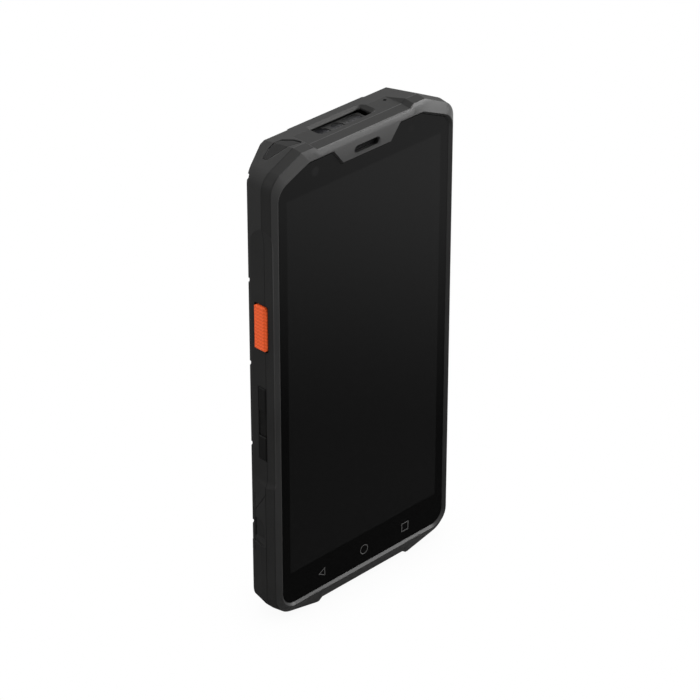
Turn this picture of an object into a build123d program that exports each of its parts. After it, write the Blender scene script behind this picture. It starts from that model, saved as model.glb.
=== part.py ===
from build123d import *
import os
from math import radians, tan

# Handheld data terminal with a scan window in its top end, millimetres.
# X runs across the screen, Y from the screen to the back, Z up from the feet.
# The origin is the middle of the bounding box's bottom face.
# A "depth" is a distance behind the outer face of the cover glass.
# A "height" is a distance above the feet, and a "half" one from the middle plane.

# ---- Display and cover glass: the body is built out from these ----
active_width = 62.47
active_height = 124.95
display_border = 1.0
display_thickness = 1.9
display_play = 0.3
display_back_gap = 0.15
glass_side_border = 3.165     # glass beyond the lit area
glass_top_border = 9.075
glass_bottom_border = 10.725
glass_thickness = 0.9
glass_gap = 0.12
glass_shoulder_width = 11.6   # run of the glass's sloping top corners
glass_shoulder_angle = 23.5
glass_top_radius = 4.5
glass_bottom_radius = 4.7
notch_top_half = 13.3
notch_bottom_half = 9.7
notch_drop = 4.55             # depth of the notch in the glass's top edge
glue_gap = 0.05

# ---- Overall body ----
side_margin = 2.65            # from the glass's edge to the frame's front edge
top_margin = 3.95
bottom_margin = 4.55
shoulder_width = 12.15        # run of the body's sloping top corners
shoulder_angle = 25.2
top_corner_radius = 6.0
bottom_corner_radius = 7.3
frame_front_depth = 0.5       # bezel to frame joint
frame_flare = 0.45            # how much the frame widens from its front edge to the joint
rear_draft = 9.0              # how steeply the housing narrows behind its joint, degrees
facet_width = 2.4             # upright facet behind the joint, below the pry notches
side_bevel_width = 10.9       # large bevel along each rear side
side_bevel_angle = 26.8
wall = 1.7                    # moulded wall
flange = 4.3                  # clamped rim of the housing, seal included
past = 1.0                    # how far a cutter runs beyond the surface it opens
far_margin = 4.0              # how far a section runs beyond the widest point

# ---- Raised patch round the camera, flush with the top edge ----
island_rise = 0.5
island_half = 15.5
island_length = 34.65
island_corner = 4.0

# ---- Feet ----
base_height = 0.95            # underside between the feet
foot_slope_angle = 11.5
foot_slope_width = 12.65      # from where the underside starts to rise to the side
foot_reach = 6.9              # width of a foot at its root
foot_flank = 1.4
foot_back_margin = 3.9
foot_root = 1.0               # how far a foot runs up into the body

# ---- Recess along the top between the raised corners ----
recess_margin = 6.3           # from the recess to where the top corners slope
recess_ramp = 1.6             # width of the ramp up to each corner
recess_cut = 1.05

# ---- Grip recess in each side ----
grip_cut = 0.9
grip_up = 52.0                # reach of the recess above and below the display's middle
grip_down = 29.5
grip_top_ramp = 3.0
grip_top_radius = 20.0
grip_ramp = 1.8
grip_ramp_radius = 3.0

# ---- Styling line low on each side ----
line_below_grip = 4.0
line_drop_angle = 54.4
line_width = 0.6
line_cut = 0.2
line_reach = 5.3              # how far the line runs behind the joint

# ---- Bezel ----
crest_rise = 0.85             # how far the bezel stands proud of the glass
crest_width = 0.25
bevel_width = 0.95            # inner bevel from the glass up to the crest
brow_bevel = 0.6
brow_gap = 0.12
slot_drop = 1.9               # earpiece slot below the glass's top edge
slot_length = 9.8
slot_width = 2.1
slot_lip = 0.35               # bevel round the slot's mouth
deck_thickness = 0.8          # web of the frame between display and boards

# ---- Perimeter seal ----
seal_inset = 2.5
seal_width = 0.7
seal_height = 0.6
seal_play = 0.05

# ---- Board space ----
board_gap = 0.5
board_thickness = 0.8
board_side_margin = 2.7
board_down = 22.7             # lower end below the display's middle
board_end_margin = 2.8
board_corner = 5.0
can_height = 1.2
can_gap = 0.9                 # between the cans and the battery's floor
can_sheet = 0.3
can_margin = 8.0              # from the board's lower end to the lower can
can_length = 26.0
can_half = 20.0
can_top_margin = 20.5
small_can_length = 20.0
small_can_half = 17.0
upper_bay_margin = 2.6
upper_bay_gap = 1.3           # between the battery cover's edge and the upper bay

# ---- Battery and its cover ----
tray_thickness = 0.9
battery_side_margin = 5.4     # from the cover's edge
battery_end_margin = 5.0
battery_top_margin = 5.2
battery_play = 0.4
battery_thickness = 5.8
battery_back_play = 0.45
battery_edge = 1.6
cover_overlap = 2.6           # how far the cover runs over each side bevel
cover_bottom_height = 12.0
cover_corner = 5.0
cover_wall = 1.5
cover_gap = 0.2
cover_play = 0.25             # between the cover and the tray inside it
grille_band = 16.8            # between the cover and the raised patch
wing_front_reach = 2.2        # from the battery's floor back to the wings' front edge
wing_below_notch = 1.8
wing_above_notch = 6.7
wing_slope = 9.0              # height over which a wing runs into the cover's edge
wing_step = 4.0               # drop of that run towards the side
tab_width = 9.0
tab_pitch = 30.0
tab_reach = 1.5
tab_thickness = 0.9
tab_root = 3.0
tab_gap = 0.15
tab_shoulder = 0.3            # the tab's root stays this far below the cover's edge
tab_swing = 2.2               # room in front of a tab as the cover swings
tab_end_room = 1.0

# ---- Pry notch in each side, in front of the cover's wings ----
pry_below_line = 9.9
pry_length = 9.0
pry_cut = 1.2
pry_front_gap = 0.55          # from the housing joint
pry_shelf = 2.3               # height of the sloping shelf at the notch's foot
pry_slope = 0.7
pry_corner = 1.5              # cut corner at the notch's upper front
pry_bevel = 0.3

# ---- Grip grooves over the rear side bevels ----
groove_width = 1.5
groove_cut = 0.45
groove_above_notch = 6.25
groove_pitch = 27.3
groove_count = 4
shoulder_groove_drop = 7.2
groove_length = 7.0
groove_edge = 0.8             # a groove ends this far inside the widest point

# ---- Scan window and engine ----
window_mid = -0.7             # the scan window sits a little left of the middle
window_length = 22.9
window_width = 7.8
window_back_shift = 2.2       # middle of the window behind the battery's floor
window_radius = 2.0
window_bevel = 1.2
window_bevel_drop = 0.9
window_wall = 0.6             # opening wall between the bevel and the glass
window_thickness = 0.8
window_ledge = 0.9            # how far the glass reaches under the opening's edge
window_play = 0.1
window_frame = 1.4
window_small_radius = 0.6
window_room = 3.0             # opening behind the glass
engine_width = 20.0
engine_length = 11.4
engine_thickness = 6.6
engine_gap = 0.3
imager_radius = 2.7
aimer_radius = 2.1
lamp_width = 6.2
lamp_radius = 1.2
lens_margin = 3.3             # imager centre from the engine's end
aimer_pitch = 6.2             # aimer and lamp centres from the imager's
lamp_pitch = 12.2
lens_back_shift = 0.4
lens_length = 1.1

# ---- Orange triggers, one in each side ----
trigger_up = 22.2             # above the display's middle
trigger_length = 14.55
trigger_front_reach = 0.92    # how far it runs over the housing joint
trigger_width = 5.05
trigger_rise = 0.75           # above the floor of the grip recess
trigger_travel = 0.6
trigger_gap = 0.2
trigger_edge = 0.4
trigger_bevel = 0.5
trigger_radius = 1.3
trigger_stem_width = 1.8
trigger_stem_length = 5.0

# ---- Volume keys and power key ----
key_down = 10.1               # below the display's middle
key_front_gap = 0.18          # from the housing joint
key_width = 3.12
key_length = 8.1
key_pitch = 16.4
key_rise = 0.25
key_gap = 0.15
key_edge = 0.3
key_travel = 0.4
key_stem_width = 1.5
key_stem_length = 3.0
key_saddle = 0.55             # shallow dip between the two volume keys
power_length = 10.0
pocket_cut = 1.35             # depth of the trigger and key pockets
stem_gap = 0.15
stem_seal = 0.5               # width of the rubber ring round each stem
stem_seal_length = 0.8
stem_reach = 0.2              # how far a stem stands into the board space
switch_thickness = 1.5
switch_height = 1.8
switch_length = 4.2
switch_gap = 0.1

# ---- Headset socket under its rubber cover, top left ----
jack_inset = 1.3              # from where the top corner starts to slope
jack_back_shift = 2.0         # behind the battery's floor
jack_bore_radius = 1.8
jack_length = 12.0
jack_floor = 1.0              # closed end of the socket
jack_half = 3.0
jack_cover_thickness = 1.1
jack_cover_gap = 0.15
jack_cover_left = 7.0          # reach of the cover from the socket's axis, each way
jack_cover_right = 3.6
jack_cover_front = 4.7
jack_cover_back = 2.55
jack_cover_radius = 0.9
jack_waist_across = 2.5       # bend of the slanting front edge, left of the socket
jack_waist_depth = 2.95
jack_tip_front = 0.75         # the left tip reaches this far in front of the socket
jack_tip_back = 1.15
jack_back_run = 4.0           # from the tip to where the back edge runs straight
jack_corner_width = 1.8       # cut corner at the cover's right rear
jack_corner_depth = 3.35
jack_room = 2.5               # space between the cover and the socket
nail_gap = 0.7                # crescent for a fingernail, to the right and to the rear
nail_gap_back = 0.25
jack_stub_radius = 1.15
jack_stub_length = 1.8

# ---- Rear camera, flash and loudspeaker ----
camera_up = 9.0               # above the lower edge of the raised patch
camera_radius = 5.2
camera_rise = 0.35
camera_step = 0.9
camera_glass_radius = 3.4
camera_glass_thickness = 0.7
camera_body = 8.5
camera_thickness = 4.2
camera_lip = 0.4              # ledge under the camera glass
camera_lens_inset = 0.7
module_gap = 0.1              # between a module and the wall in front of it
flash_gap = 5.1               # from the camera's ring to the flash
flash_radius = 1.9
flash_thickness = 1.4
speaker_inset = 8.8           # from the edge of the flat back
speaker_width = 13.0
speaker_length = 9.0
speaker_thickness = 3.4
speaker_slot_length = 6.0
speaker_slot_width = 1.1
speaker_pitch = 2.3
speaker_slots = 5
mesh_thickness = 0.2
mesh_margin = 0.7             # how far a mesh reaches past its opening

# ---- Bottom end ----
usb_width = 8.94
usb_height = 3.16
usb_sheet = 0.3
usb_length = 7.2
usb_gap = 0.35
usb_setback = 0.4
usb_tongue_setback = 1.0
usb_tongue_width = 6.7
usb_tongue_thickness = 0.7
lower_board_half = 22.0
lower_board_height = 17.0
lower_bay_half = 11.0
lower_bay_reach = 2.0         # how far the bay runs behind the battery's floor
lower_board_gap = 0.2
lower_bay_wall = 1.2          # rib between the lower bay and the clamped rim or the battery
mic_radius = 0.55
mic_inset = 1.7               # from the end of the top recess
mic_back_shift = 1.7
lower_mic_across = 9.0
mic_size = 3.0
mic_thickness = 1.1
mic_gap = 0.5
mic_hole_depth = 4.0

# ---- Small parts ----
front_camera_side = 6.7       # beyond the notch in the glass
front_camera_drop = 3.35      # below the glass's top edge
front_camera_half = 2.0
front_lens_radius = 1.5
front_lens_length = 0.7
sensor_side = 5.3
sensor_size = 2.6
sensor_thickness = 1.0
receiver_length = 12.0
receiver_width = 4.2
receiver_thickness = 2.0
screw_head_radius = 1.6
screw_head_height = 1.0
screw_shaft_radius = 0.8
screw_socket_radius = 0.8
screw_socket_depth = 0.6
screw_play = 0.1
screw_sink = 0.9              # depth of the heads below the tray's face
screw_side_margin = 2.3       # from the battery cover's edge
screw_end_shift = 2.0         # lower screws above the battery's lower end
boss_half = 2.0               # half width of the square posts round the screws
boss_gap = 0.4
motor_radius = 4.0
motor_thickness = 2.6
motor_inset = 3.8
motor_gap = 0.3
contact_width = 1.8
contact_length = 2.4
contact_pitch = 3.2
contact_count = 4
contact_height = 7.6
contact_thickness = 1.2
terminal_width = 1.6
terminal_height = 2.2
terminal_length = 2.6
terminal_pitch = 4.0
terminal_count = 3

# ---- Places that follow, across ----
glass_half = active_width / 2 + glass_side_border
glass_pad_half = glass_half - glass_shoulder_width
front_half = glass_half + side_margin
rear_half = front_half + frame_flare
inner_half = rear_half - flange
far_half = rear_half + far_margin
pad_half = front_half - shoulder_width
foot_slope_half = front_half - foot_slope_width
foot_inner_half = foot_slope_half - foot_reach
foot_flat_half = foot_inner_half + foot_flank
recess_half = pad_half - recess_margin
grip_half = rear_half - grip_cut
pocket_floor_half = grip_half - pocket_cut
key_saddle_half = grip_half - key_saddle
pry_floor_half = rear_half - pry_cut
stem_end = inner_half - stem_reach
back_flat_half = front_half - side_bevel_width
cover_half = back_flat_half + cover_overlap
battery_half = cover_half - battery_side_margin
screw_across = cover_half - screw_side_margin
board_half = inner_half - board_side_margin
upper_bay_half = rear_half - upper_bay_margin
jack_across = jack_inset - pad_half
mic_across = recess_half - mic_inset
flash_across = camera_radius + flash_gap
speaker_across = speaker_inset - back_flat_half
motor_across = back_flat_half - motor_inset
front_camera_across = -notch_top_half - front_camera_side
sensor_across = notch_top_half + sensor_side

# ---- Places that follow, in depth ----
seat_depth = glass_thickness + glue_gap
deck_depth = seat_depth + display_thickness + display_back_gap
parting_depth = deck_depth + deck_thickness       # frame to rear housing joint
facet_depth = parting_depth + facet_width
board_depth = parting_depth + board_gap
board_back_depth = board_depth + board_thickness
tray_depth = board_back_depth + can_height + can_gap      # front face of the floor under the battery
battery_depth = tray_depth + tray_thickness + glue_gap
back_depth = battery_depth + battery_thickness + battery_back_play + cover_wall
island_depth = back_depth + island_rise
skin_depth = back_depth - wall
behind = island_depth + past
foot_back_depth = back_depth - foot_back_margin
wing_front_depth = tray_depth + wing_front_reach
lower_bay_depth = tray_depth + lower_bay_reach
pry_front_depth = parting_depth + pry_front_gap
window_mid_depth = tray_depth + window_back_shift
trigger_front_depth = parting_depth - trigger_front_reach
trigger_back_depth = trigger_front_depth + trigger_width
key_front_depth = parting_depth + key_front_gap
key_back_depth = key_front_depth + key_width
jack_mid_depth = tray_depth + jack_back_shift
mic_depth = tray_depth + mic_back_shift
usb_mid_depth = board_back_depth + usb_height / 2
terminal_depth = battery_depth + battery_thickness / 2
tray_inset = cover_wall + cover_play
screw_head_depth = back_depth - tray_inset - screw_sink - screw_head_height
glass_y = (crest_rise - island_depth - camera_rise) / 2

# ---- Places that follow, in height ----
glass_bottom_height = base_height + bottom_margin
display_mid_height = glass_bottom_height + glass_bottom_border + active_height / 2
glass_top_height = display_mid_height + active_height / 2 + glass_top_border
pad_top = glass_top_height + top_margin
top_height = pad_top + frame_flare
above = top_height + past
recess_floor_height = top_height - recess_cut
notch_height = glass_top_height - notch_drop
slot_height = glass_top_height - slot_drop
front_camera_height = glass_top_height - front_camera_drop
window_top = recess_floor_height - window_bevel_drop - window_wall
jack_socket_top = top_height - jack_cover_thickness - jack_cover_gap - jack_room
grip_top_height = display_mid_height + grip_up
grip_bottom_height = display_mid_height - grip_down
trigger_mid_height = display_mid_height + trigger_up
key_mid_height = display_mid_height - key_down
volume_heights = (key_mid_height - key_pitch / 2, key_mid_height + key_pitch / 2)
line_front_height = grip_bottom_height - line_below_grip
pry_high_height = line_front_height - pry_below_line
pry_low_height = pry_high_height - pry_length
wing_top_height = pry_high_height + wing_above_notch
wing_bottom_height = pry_low_height - wing_below_notch
groove_low_height = pry_low_height + groove_above_notch
shoulder_groove_height = pad_top - shoulder_groove_drop
island_bottom_height = top_height - island_length
camera_height = island_bottom_height + camera_up
cover_top_height = island_bottom_height - grille_band
upper_bay_height = cover_top_height + upper_bay_gap
speaker_mid_height = (cover_top_height + island_bottom_height) / 2
battery_bottom_height = cover_bottom_height + battery_end_margin
battery_length = cover_top_height - battery_top_margin - battery_bottom_height
screw_heights = (battery_bottom_height + screw_end_shift, cover_top_height - battery_top_margin)
board_bottom_height = display_mid_height - board_down
board_top_height = recess_floor_height - flange - board_end_margin
lower_board_low = flange + lower_bay_wall + lower_board_gap

# ---- Rates of the slopes ----
draft_rate = tan(radians(rear_draft))
bevel_rate = tan(radians(side_bevel_angle))
foot_rate = tan(radians(foot_slope_angle))
flare_rate = frame_flare / (parting_depth - frame_front_depth)


def at_depth(depth):
    """Y of a plane at this depth behind the glass."""
    return glass_y + depth


def facing(depth):
    """Working plane across the body at a depth: local x is X, local y is Z."""
    return Plane((0, at_depth(depth), 0), x_dir=(1, 0, 0), z_dir=(0, -1, 0))


def slab(sketch, front, back):
    """Extrude a flat outline from one depth to another."""
    return extrude(facing(front) * sketch, amount=front - back)


def tapered(front_sketch, back_sketch, front, back):
    """Straight-sided body between two outlines at two depths."""
    return loft([facing(front) * front_sketch, facing(back) * back_sketch], ruled=True)


def block(across, depths, heights):
    """Box between two X values, two depths and two heights."""
    size = (across[1] - across[0], depths[1] - depths[0], heights[1] - heights[0])
    middle_depth = at_depth((depths[0] + depths[1]) / 2)
    middle = ((across[0] + across[1]) / 2, middle_depth, (heights[0] + heights[1]) / 2)
    return Pos(*middle) * Box(*size)


def outline(points):
    """Closed flat outline from its corners."""
    return make_face(Polyline(*points, close=True))


def mirrored(half_points):
    """Close a right-hand half outline with its mirror image."""
    return outline(half_points + [(-x, z) for x, z in reversed(half_points)])


def rounded(sketch, radius, chosen):
    """Round the corners of an outline that a test picks."""
    return fillet([v for v in sketch.vertices() if chosen(v)], radius)


def both_sides(solid):
    """A right-hand solid together with its mirror image."""
    return solid + mirror(solid, about=Plane.YZ)


def left_hand(solid):
    """Mirror image of a right-hand piece."""
    return mirror(solid, about=Plane.YZ)


def rod(across, height, radius, front, back):
    """Cylinder along the depth direction."""
    return slab(Pos(across, height) * Circle(radius), front, back)


def upright(sketch, low, high):
    """Extrude a plan outline, drawn as X against depth, from one height to another."""
    return extrude(Pos(0, glass_y, low) * sketch, amount=high - low)


# ---------------- outer forms that several pieces share ----------------

def body_outline(grow=0.0):
    """Outline of the body at the frame's front edge, grown outwards."""
    shoulder = pad_top - (front_half - pad_half) * tan(radians(shoulder_angle))
    corner = base_height + (front_half - foot_slope_half) * foot_rate
    points = [(pad_half, pad_top), (front_half, shoulder),
              (front_half, corner), (foot_slope_half, base_height)]
    plain = rounded(mirrored(points), top_corner_radius,
                    lambda v: abs(v.X) > front_half - 0.01 and v.Y > display_mid_height)
    plain = rounded(plain, bottom_corner_radius,
                    lambda v: abs(v.X) > front_half - 0.01 and v.Y < display_mid_height)
    return offset(plain, grow, kind=Kind.INTERSECTION) if grow else plain


def glass_outline(grow=0.0):
    """Outline of the cover glass without its notch, grown outwards."""
    shoulder = glass_top_height - (glass_half - glass_pad_half) * tan(radians(glass_shoulder_angle))
    points = [(glass_pad_half, glass_top_height), (glass_half, shoulder),
              (glass_half, glass_bottom_height), (foot_slope_half, glass_bottom_height)]
    plain = rounded(mirrored(points), glass_top_radius,
                    lambda v: abs(v.X) > glass_half - 0.01 and v.Y > display_mid_height)
    plain = rounded(plain, glass_bottom_radius,
                    lambda v: abs(v.X) > glass_half - 0.01 and v.Y < display_mid_height)
    return offset(plain, grow, kind=Kind.INTERSECTION) if grow else plain


def brow_outline(inset=0.0):
    """Tapering tongue of the bezel that fills the notch in the glass."""
    slant = (notch_top_half - notch_bottom_half) / (glass_top_height - notch_height)
    low = notch_height + inset
    high = glass_top_height + bevel_width
    low_half = notch_bottom_half + slant * inset - inset
    high_half = notch_top_half + slant * bevel_width - inset
    return mirrored([(high_half, high), (low_half, low)])


def top_recess(inset=0.0):
    """Cutter for the shallow recess along the top end."""
    rise = top_height - recess_floor_height
    front_drop = (parting_depth + 2 * crest_rise) * flare_rate

    def section(drop):
        floor = recess_floor_height - drop
        points = [(recess_half + 4 * recess_ramp, floor + 4 * rise), (recess_half, floor)]
        sketch = mirrored(points)
        return offset(sketch, inset, kind=Kind.INTERSECTION) if inset else sketch

    front = tapered(section(front_drop), section(0), -2 * crest_rise, parting_depth)
    return front + slab(section(0), parting_depth, behind)


def grip_recess():
    """Cutter for the shallow finger recess in the right side."""
    outer = grip_half + 3 * grip_cut
    points = [(grip_half, grip_bottom_height), (grip_half, grip_top_height),
              (outer, grip_top_height + 3 * grip_top_ramp), (outer, grip_bottom_height - 3 * grip_ramp)]
    sketch = rounded(outline(points), grip_top_radius,
                     lambda v: v.X < grip_half + 0.01 and v.Y > display_mid_height)
    sketch = rounded(sketch, grip_ramp_radius,
                     lambda v: v.X < grip_half + 0.01 and v.Y < display_mid_height)
    return slab(sketch, -2 * crest_rise, behind)


def foot(front, back):
    """Right-hand foot between two depths."""
    flat_end = foot_slope_half - base_height / foot_rate
    root = base_height + foot_root
    points = [(foot_inner_half, root), (foot_inner_half, base_height), (foot_flat_half, 0), (flat_end, 0),
              (foot_slope_half, base_height), (foot_slope_half, root)]
    return slab(outline(points), front, back)


def plan_profile(inset, front):
    """Plan view of the rear form: a flat back with a large bevel along each side."""
    back = back_depth - inset
    back_half = back_flat_half - inset * tan(radians(side_bevel_angle / 2))
    far_depth = back - (far_half - back_half) * bevel_rate
    points = [(far_half, front), (far_half, far_depth), (back_half, back)]
    return mirrored(points)


def narrowing_form(inset, start):
    """Bulk that narrows from a depth to the back of the raised patch."""
    grow = frame_flare - inset
    narrowing = (island_depth - parting_depth) * draft_rate
    return tapered(body_outline(grow), body_outline(grow - narrowing), start, island_depth)


def lower_facet():
    """Upright facet behind the joint that runs from the pry notches round the bottom end."""
    raised = slab(body_outline(frame_flare), parting_depth, facet_depth) + narrowing_form(0, facet_depth)
    return raised & block((-far_half, far_half), (parting_depth, island_depth), (-past, pry_low_height))


def rear_form(inset=0.0, front=parting_depth - past):
    """Rear half of the body as one solid, or the same set inwards by a wall."""
    bulk = narrowing_form(inset, parting_depth)
    if inset == 0:
        bulk += lower_facet()
    form = bulk & upright(plan_profile(inset, front), -past, above)
    if inset == 0:
        form += bulk & camera_island()
        form += both_sides(foot(parting_depth, foot_back_depth))
    return form - top_recess(inset)


def camera_island():
    """Raised patch on the back that runs out over the top edge."""
    length = top_height - island_bottom_height + 2 * island_corner
    middle = island_bottom_height + length / 2
    low = Pos(0, middle) * RectangleRounded(2 * island_half, length, island_corner)
    high = Pos(0, middle) * RectangleRounded(2 * island_half - 2 * island_rise, length - 2 * island_rise,
                                             island_corner - island_rise)
    return tapered(low, high, back_depth, island_depth)


def cover_outline(grow=0.0):
    """Battery cover seen from behind: a panel with two wings low on the sides."""
    points = [(cover_half - cover_corner, cover_top_height), (cover_half, cover_top_height - cover_corner),
              (cover_half, wing_top_height + wing_slope), (far_half, wing_top_height - wing_step),
              (far_half, wing_bottom_height), (cover_half, wing_bottom_height - wing_slope / 2),
              (cover_half, cover_bottom_height + cover_corner),
              (cover_half - cover_corner, cover_bottom_height)]
    sketch = mirrored(points)
    return offset(sketch, grow, kind=Kind.INTERSECTION) if grow else sketch


def cover_zone(grow=0.0):
    """Space behind the cover's outline, from the wings' front edge to the back."""
    return slab(cover_outline(grow), wing_front_depth - grow, behind)


def pry_notch():
    """Cutter for the fingernail notch in the right side."""
    back = wing_front_depth + pry_corner

    def section(low, high, front):
        return outline([(front, low), (back, low), (back, high), (front + pry_corner, high),
                        (front, high - pry_corner)])

    def place(sketch, half):
        side = Plane((half, glass_y, 0), x_dir=(0, 1, 0), z_dir=(1, 0, 0))
        return side * sketch

    floor = section(pry_low_height + pry_shelf, pry_high_height - pry_slope, pry_front_depth + pry_bevel)
    mouth = section(pry_low_height, pry_high_height, pry_front_depth)
    sunk = loft([place(floor, pry_floor_half), place(mouth, rear_half)], ruled=True)
    return sunk + extrude(place(mouth, rear_half), amount=past)


def grip_groove(height):
    """Cutter for one groove across the right rear bevel."""
    mid_x = rear_half - groove_edge - groove_length / 2
    mid_depth = back_depth - (mid_x - back_flat_half) * bevel_rate
    tool = Box(groove_length * 2, 2 * groove_cut, groove_width)
    return Pos(mid_x + groove_length / 2, at_depth(mid_depth - groove_length / 2 * bevel_rate), height) * (
        Rot(0, 0, -side_bevel_angle) * tool)


def styling_line():
    """Cutter for the fine line that drops towards the back on the right side."""
    end_height = line_front_height - line_reach * tan(radians(line_drop_angle))
    points = [(0, line_front_height), (line_reach, end_height), (line_reach, end_height - line_width),
              (0, line_front_height - line_width)]
    skin = Plane((rear_half - line_cut, at_depth(parting_depth), 0), x_dir=(-draft_rate, 1, 0),
                 z_dir=(1, draft_rate, 0))
    return extrude(skin * outline(points), amount=past)


def side_pocket(height, length, front, back, gap):
    """Cutter for a key or trigger pocket in the right side."""
    heights = (height - length / 2 - gap, height + length / 2 + gap)
    return block((pocket_floor_half, far_half), (front - gap, back + gap), heights)


def stem_block(stem, across, gap=0.0):
    """Box round a right-hand stem between two X values, with a gap all round."""
    height, length, width, middle = stem
    depths = (middle - width / 2 - gap, middle + width / 2 + gap)
    return block(across, depths, (height - length / 2 - gap, height + length / 2 + gap))


def trigger_stem():
    """Height, length, width and depth of a trigger's stem."""
    middle = (trigger_front_depth + trigger_back_depth) / 2
    return trigger_mid_height, trigger_stem_length, trigger_stem_width, middle


def key_stem(height):
    """Height, length, width and depth of a side key's stem."""
    return height, key_stem_length, key_stem_width, (key_front_depth + key_back_depth) / 2


def stem_hole(stem):
    """Cutter for a stem's way through the right side wall, wider where its seal sits."""
    hole = stem_block(stem, (inner_half - past, pocket_floor_half + past), stem_gap)
    seat = stem_block(stem, (inner_half - past, inner_half + stem_seal_length), stem_seal + stem_gap)
    return hole + seat


def window_plan(shrink=0.0):
    """Plan outline of the scan window opening, shrunk inwards."""
    corner = max(window_radius - shrink, window_small_radius)
    return Pos(window_mid, window_mid_depth) * RectangleRounded(
        window_length - 2 * shrink, window_width - 2 * shrink, corner)


def jack_plan(shrink=0.0):
    """Plan outline of the headset socket's cover."""
    left = jack_across - jack_cover_left
    right = jack_across + jack_cover_right
    front = jack_mid_depth - jack_cover_front
    back = jack_mid_depth + jack_cover_back
    points = [(right, front), (right, back - jack_corner_depth), (right - jack_corner_width, back),
              (left + jack_back_run, back), (left, jack_mid_depth + jack_tip_back),
              (left, jack_mid_depth - jack_tip_front),
              (jack_across - jack_waist_across, jack_mid_depth - jack_waist_depth)]
    sketch = rounded(outline(points), jack_cover_radius, lambda v: True)
    return offset(sketch, -shrink, kind=Kind.ARC) if shrink else sketch


# ---------------- casings ----------------

def front_bezel():
    """Front moulding: rim round the glass and the brow with the earpiece slot."""
    rim = glass_outline(bevel_width + crest_width)
    body = tapered(rim, body_outline(), -crest_rise, frame_front_depth)
    opening = slab(glass_outline(glass_gap), 0, frame_front_depth)
    bevel = tapered(glass_outline(bevel_width), glass_outline(glass_gap), -crest_rise, 0)
    body -= opening + bevel
    brow = tapered(brow_outline(brow_bevel), brow_outline(), -crest_rise, 0)
    brow += slab(brow_outline(), 0, frame_front_depth)
    body += brow & tapered(rim, body_outline(), -crest_rise, frame_front_depth)
    body += both_sides(bezel_foot())
    place = Pos(0, slot_height)
    mouth = place * SlotOverall(slot_length, slot_width)
    wide = place * SlotOverall(slot_length + 2 * slot_lip, slot_width + 2 * slot_lip)
    slot = slab(mouth, -crest_rise - past, frame_front_depth + past)
    slot += tapered(wide, mouth, -crest_rise, slot_lip - crest_rise)
    return body - slot - top_recess() - both_sides(grip_recess())


def bezel_foot():
    """Front of the right-hand foot, which slopes back from the bezel's crest."""
    crest = glass_bottom_height - bevel_width - crest_width
    flat_end = foot_slope_half - base_height / foot_rate

    def section(low, high):
        return outline([(foot_inner_half, crest + foot_root / 2), (foot_inner_half, high),
                        (foot_flat_half, low), (flat_end, low), (foot_slope_half, high),
                        (foot_slope_half, crest + foot_root / 2)])

    return tapered(section(crest, crest), section(0, base_height), -crest_rise, frame_front_depth)


def mid_frame():
    """Frame that carries the glass, the display and the boards."""
    body = tapered(body_outline(), body_outline(frame_flare), frame_front_depth, parting_depth)
    body += both_sides(foot(frame_front_depth, parting_depth))
    body -= slab(glass_outline(glass_gap), frame_front_depth, seat_depth)
    margin = 2 * (display_border + display_play)
    display = Pos(0, display_mid_height) * Rectangle(active_width + margin, active_height + margin)
    body -= slab(display, frame_front_depth, deck_depth)
    body -= receiver_space(glass_gap)
    body -= front_camera_block(frame_front_depth, deck_depth, glass_gap)
    body -= sensor_block(frame_front_depth, deck_depth, glass_gap)
    for height in screw_heights:
        body -= both_sides(rod(screw_across, height, screw_shaft_radius, deck_depth, parting_depth))
    body -= both_sides(trigger_pocket())
    return body - top_recess() - both_sides(grip_recess())


def receiver_space(gap=0.0):
    """Space of the earpiece receiver behind its slot."""
    low = slot_height - receiver_width / 2 - gap
    high = slot_height + receiver_width / 2 + gap
    return block((-receiver_length / 2 - gap, receiver_length / 2 + gap), (frame_front_depth, deck_depth),
                 (low, high))


def front_camera_block(front, back, gap=0.0):
    """Box at the front camera's place, with a gap round it."""
    half = front_camera_half + gap
    return block((front_camera_across - half, front_camera_across + half), (front, back),
                 (front_camera_height - half, front_camera_height + half))


def sensor_block(front, back, gap=0.0):
    """Box at the light sensor's place, with a gap round it."""
    half = sensor_size / 2 + gap
    return block((sensor_across - half, sensor_across + half), (front, back),
                 (front_camera_height - half, front_camera_height + half))


def trigger_pocket():
    """Pocket of the right-hand trigger."""
    return side_pocket(trigger_mid_height, trigger_length, trigger_front_depth, trigger_back_depth,
                       trigger_gap)


def rear_housing():
    """Rear shell with the battery tray, board space and every opening in it."""
    body = rear_form() - (cover_zone(cover_gap) - rear_form(tray_inset))
    body -= slab(body_outline(frame_flare - flange), parting_depth, tray_depth)
    body -= seal_groove()
    upper = block((-upper_bay_half, upper_bay_half), (tray_depth - past, island_depth),
                  (upper_bay_height, top_height))
    body -= upper & rear_form(wall, tray_depth - past)
    body += window_surround()
    body -= window_cutter()
    body -= battery_bay() + tab_pockets()
    body -= lower_bay() + terminal_pockets()
    body += screw_bosses()
    body -= screw_spaces()
    body -= side_openings()
    body -= jack_space()
    body -= rear_openings()
    body -= both_sides(grip_recess() + styling_line())
    body -= both_sides(pry_notch()) - cover_zone(cover_gap)
    body -= groove_set()
    return body


def groove_set():
    """All grip grooves on both sides."""
    cutter = grip_groove(shoulder_groove_height)
    for index in range(groove_count):
        cutter += grip_groove(groove_low_height + index * groove_pitch)
    return both_sides(cutter)


def seal_groove():
    """Groove for the perimeter seal in the housing's front rim."""
    outer = body_outline(frame_flare - seal_inset + seal_play)
    inner = body_outline(frame_flare - seal_inset - seal_width - seal_play)
    return slab(outer - inner, parting_depth, parting_depth + seal_height + seal_play)


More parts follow.
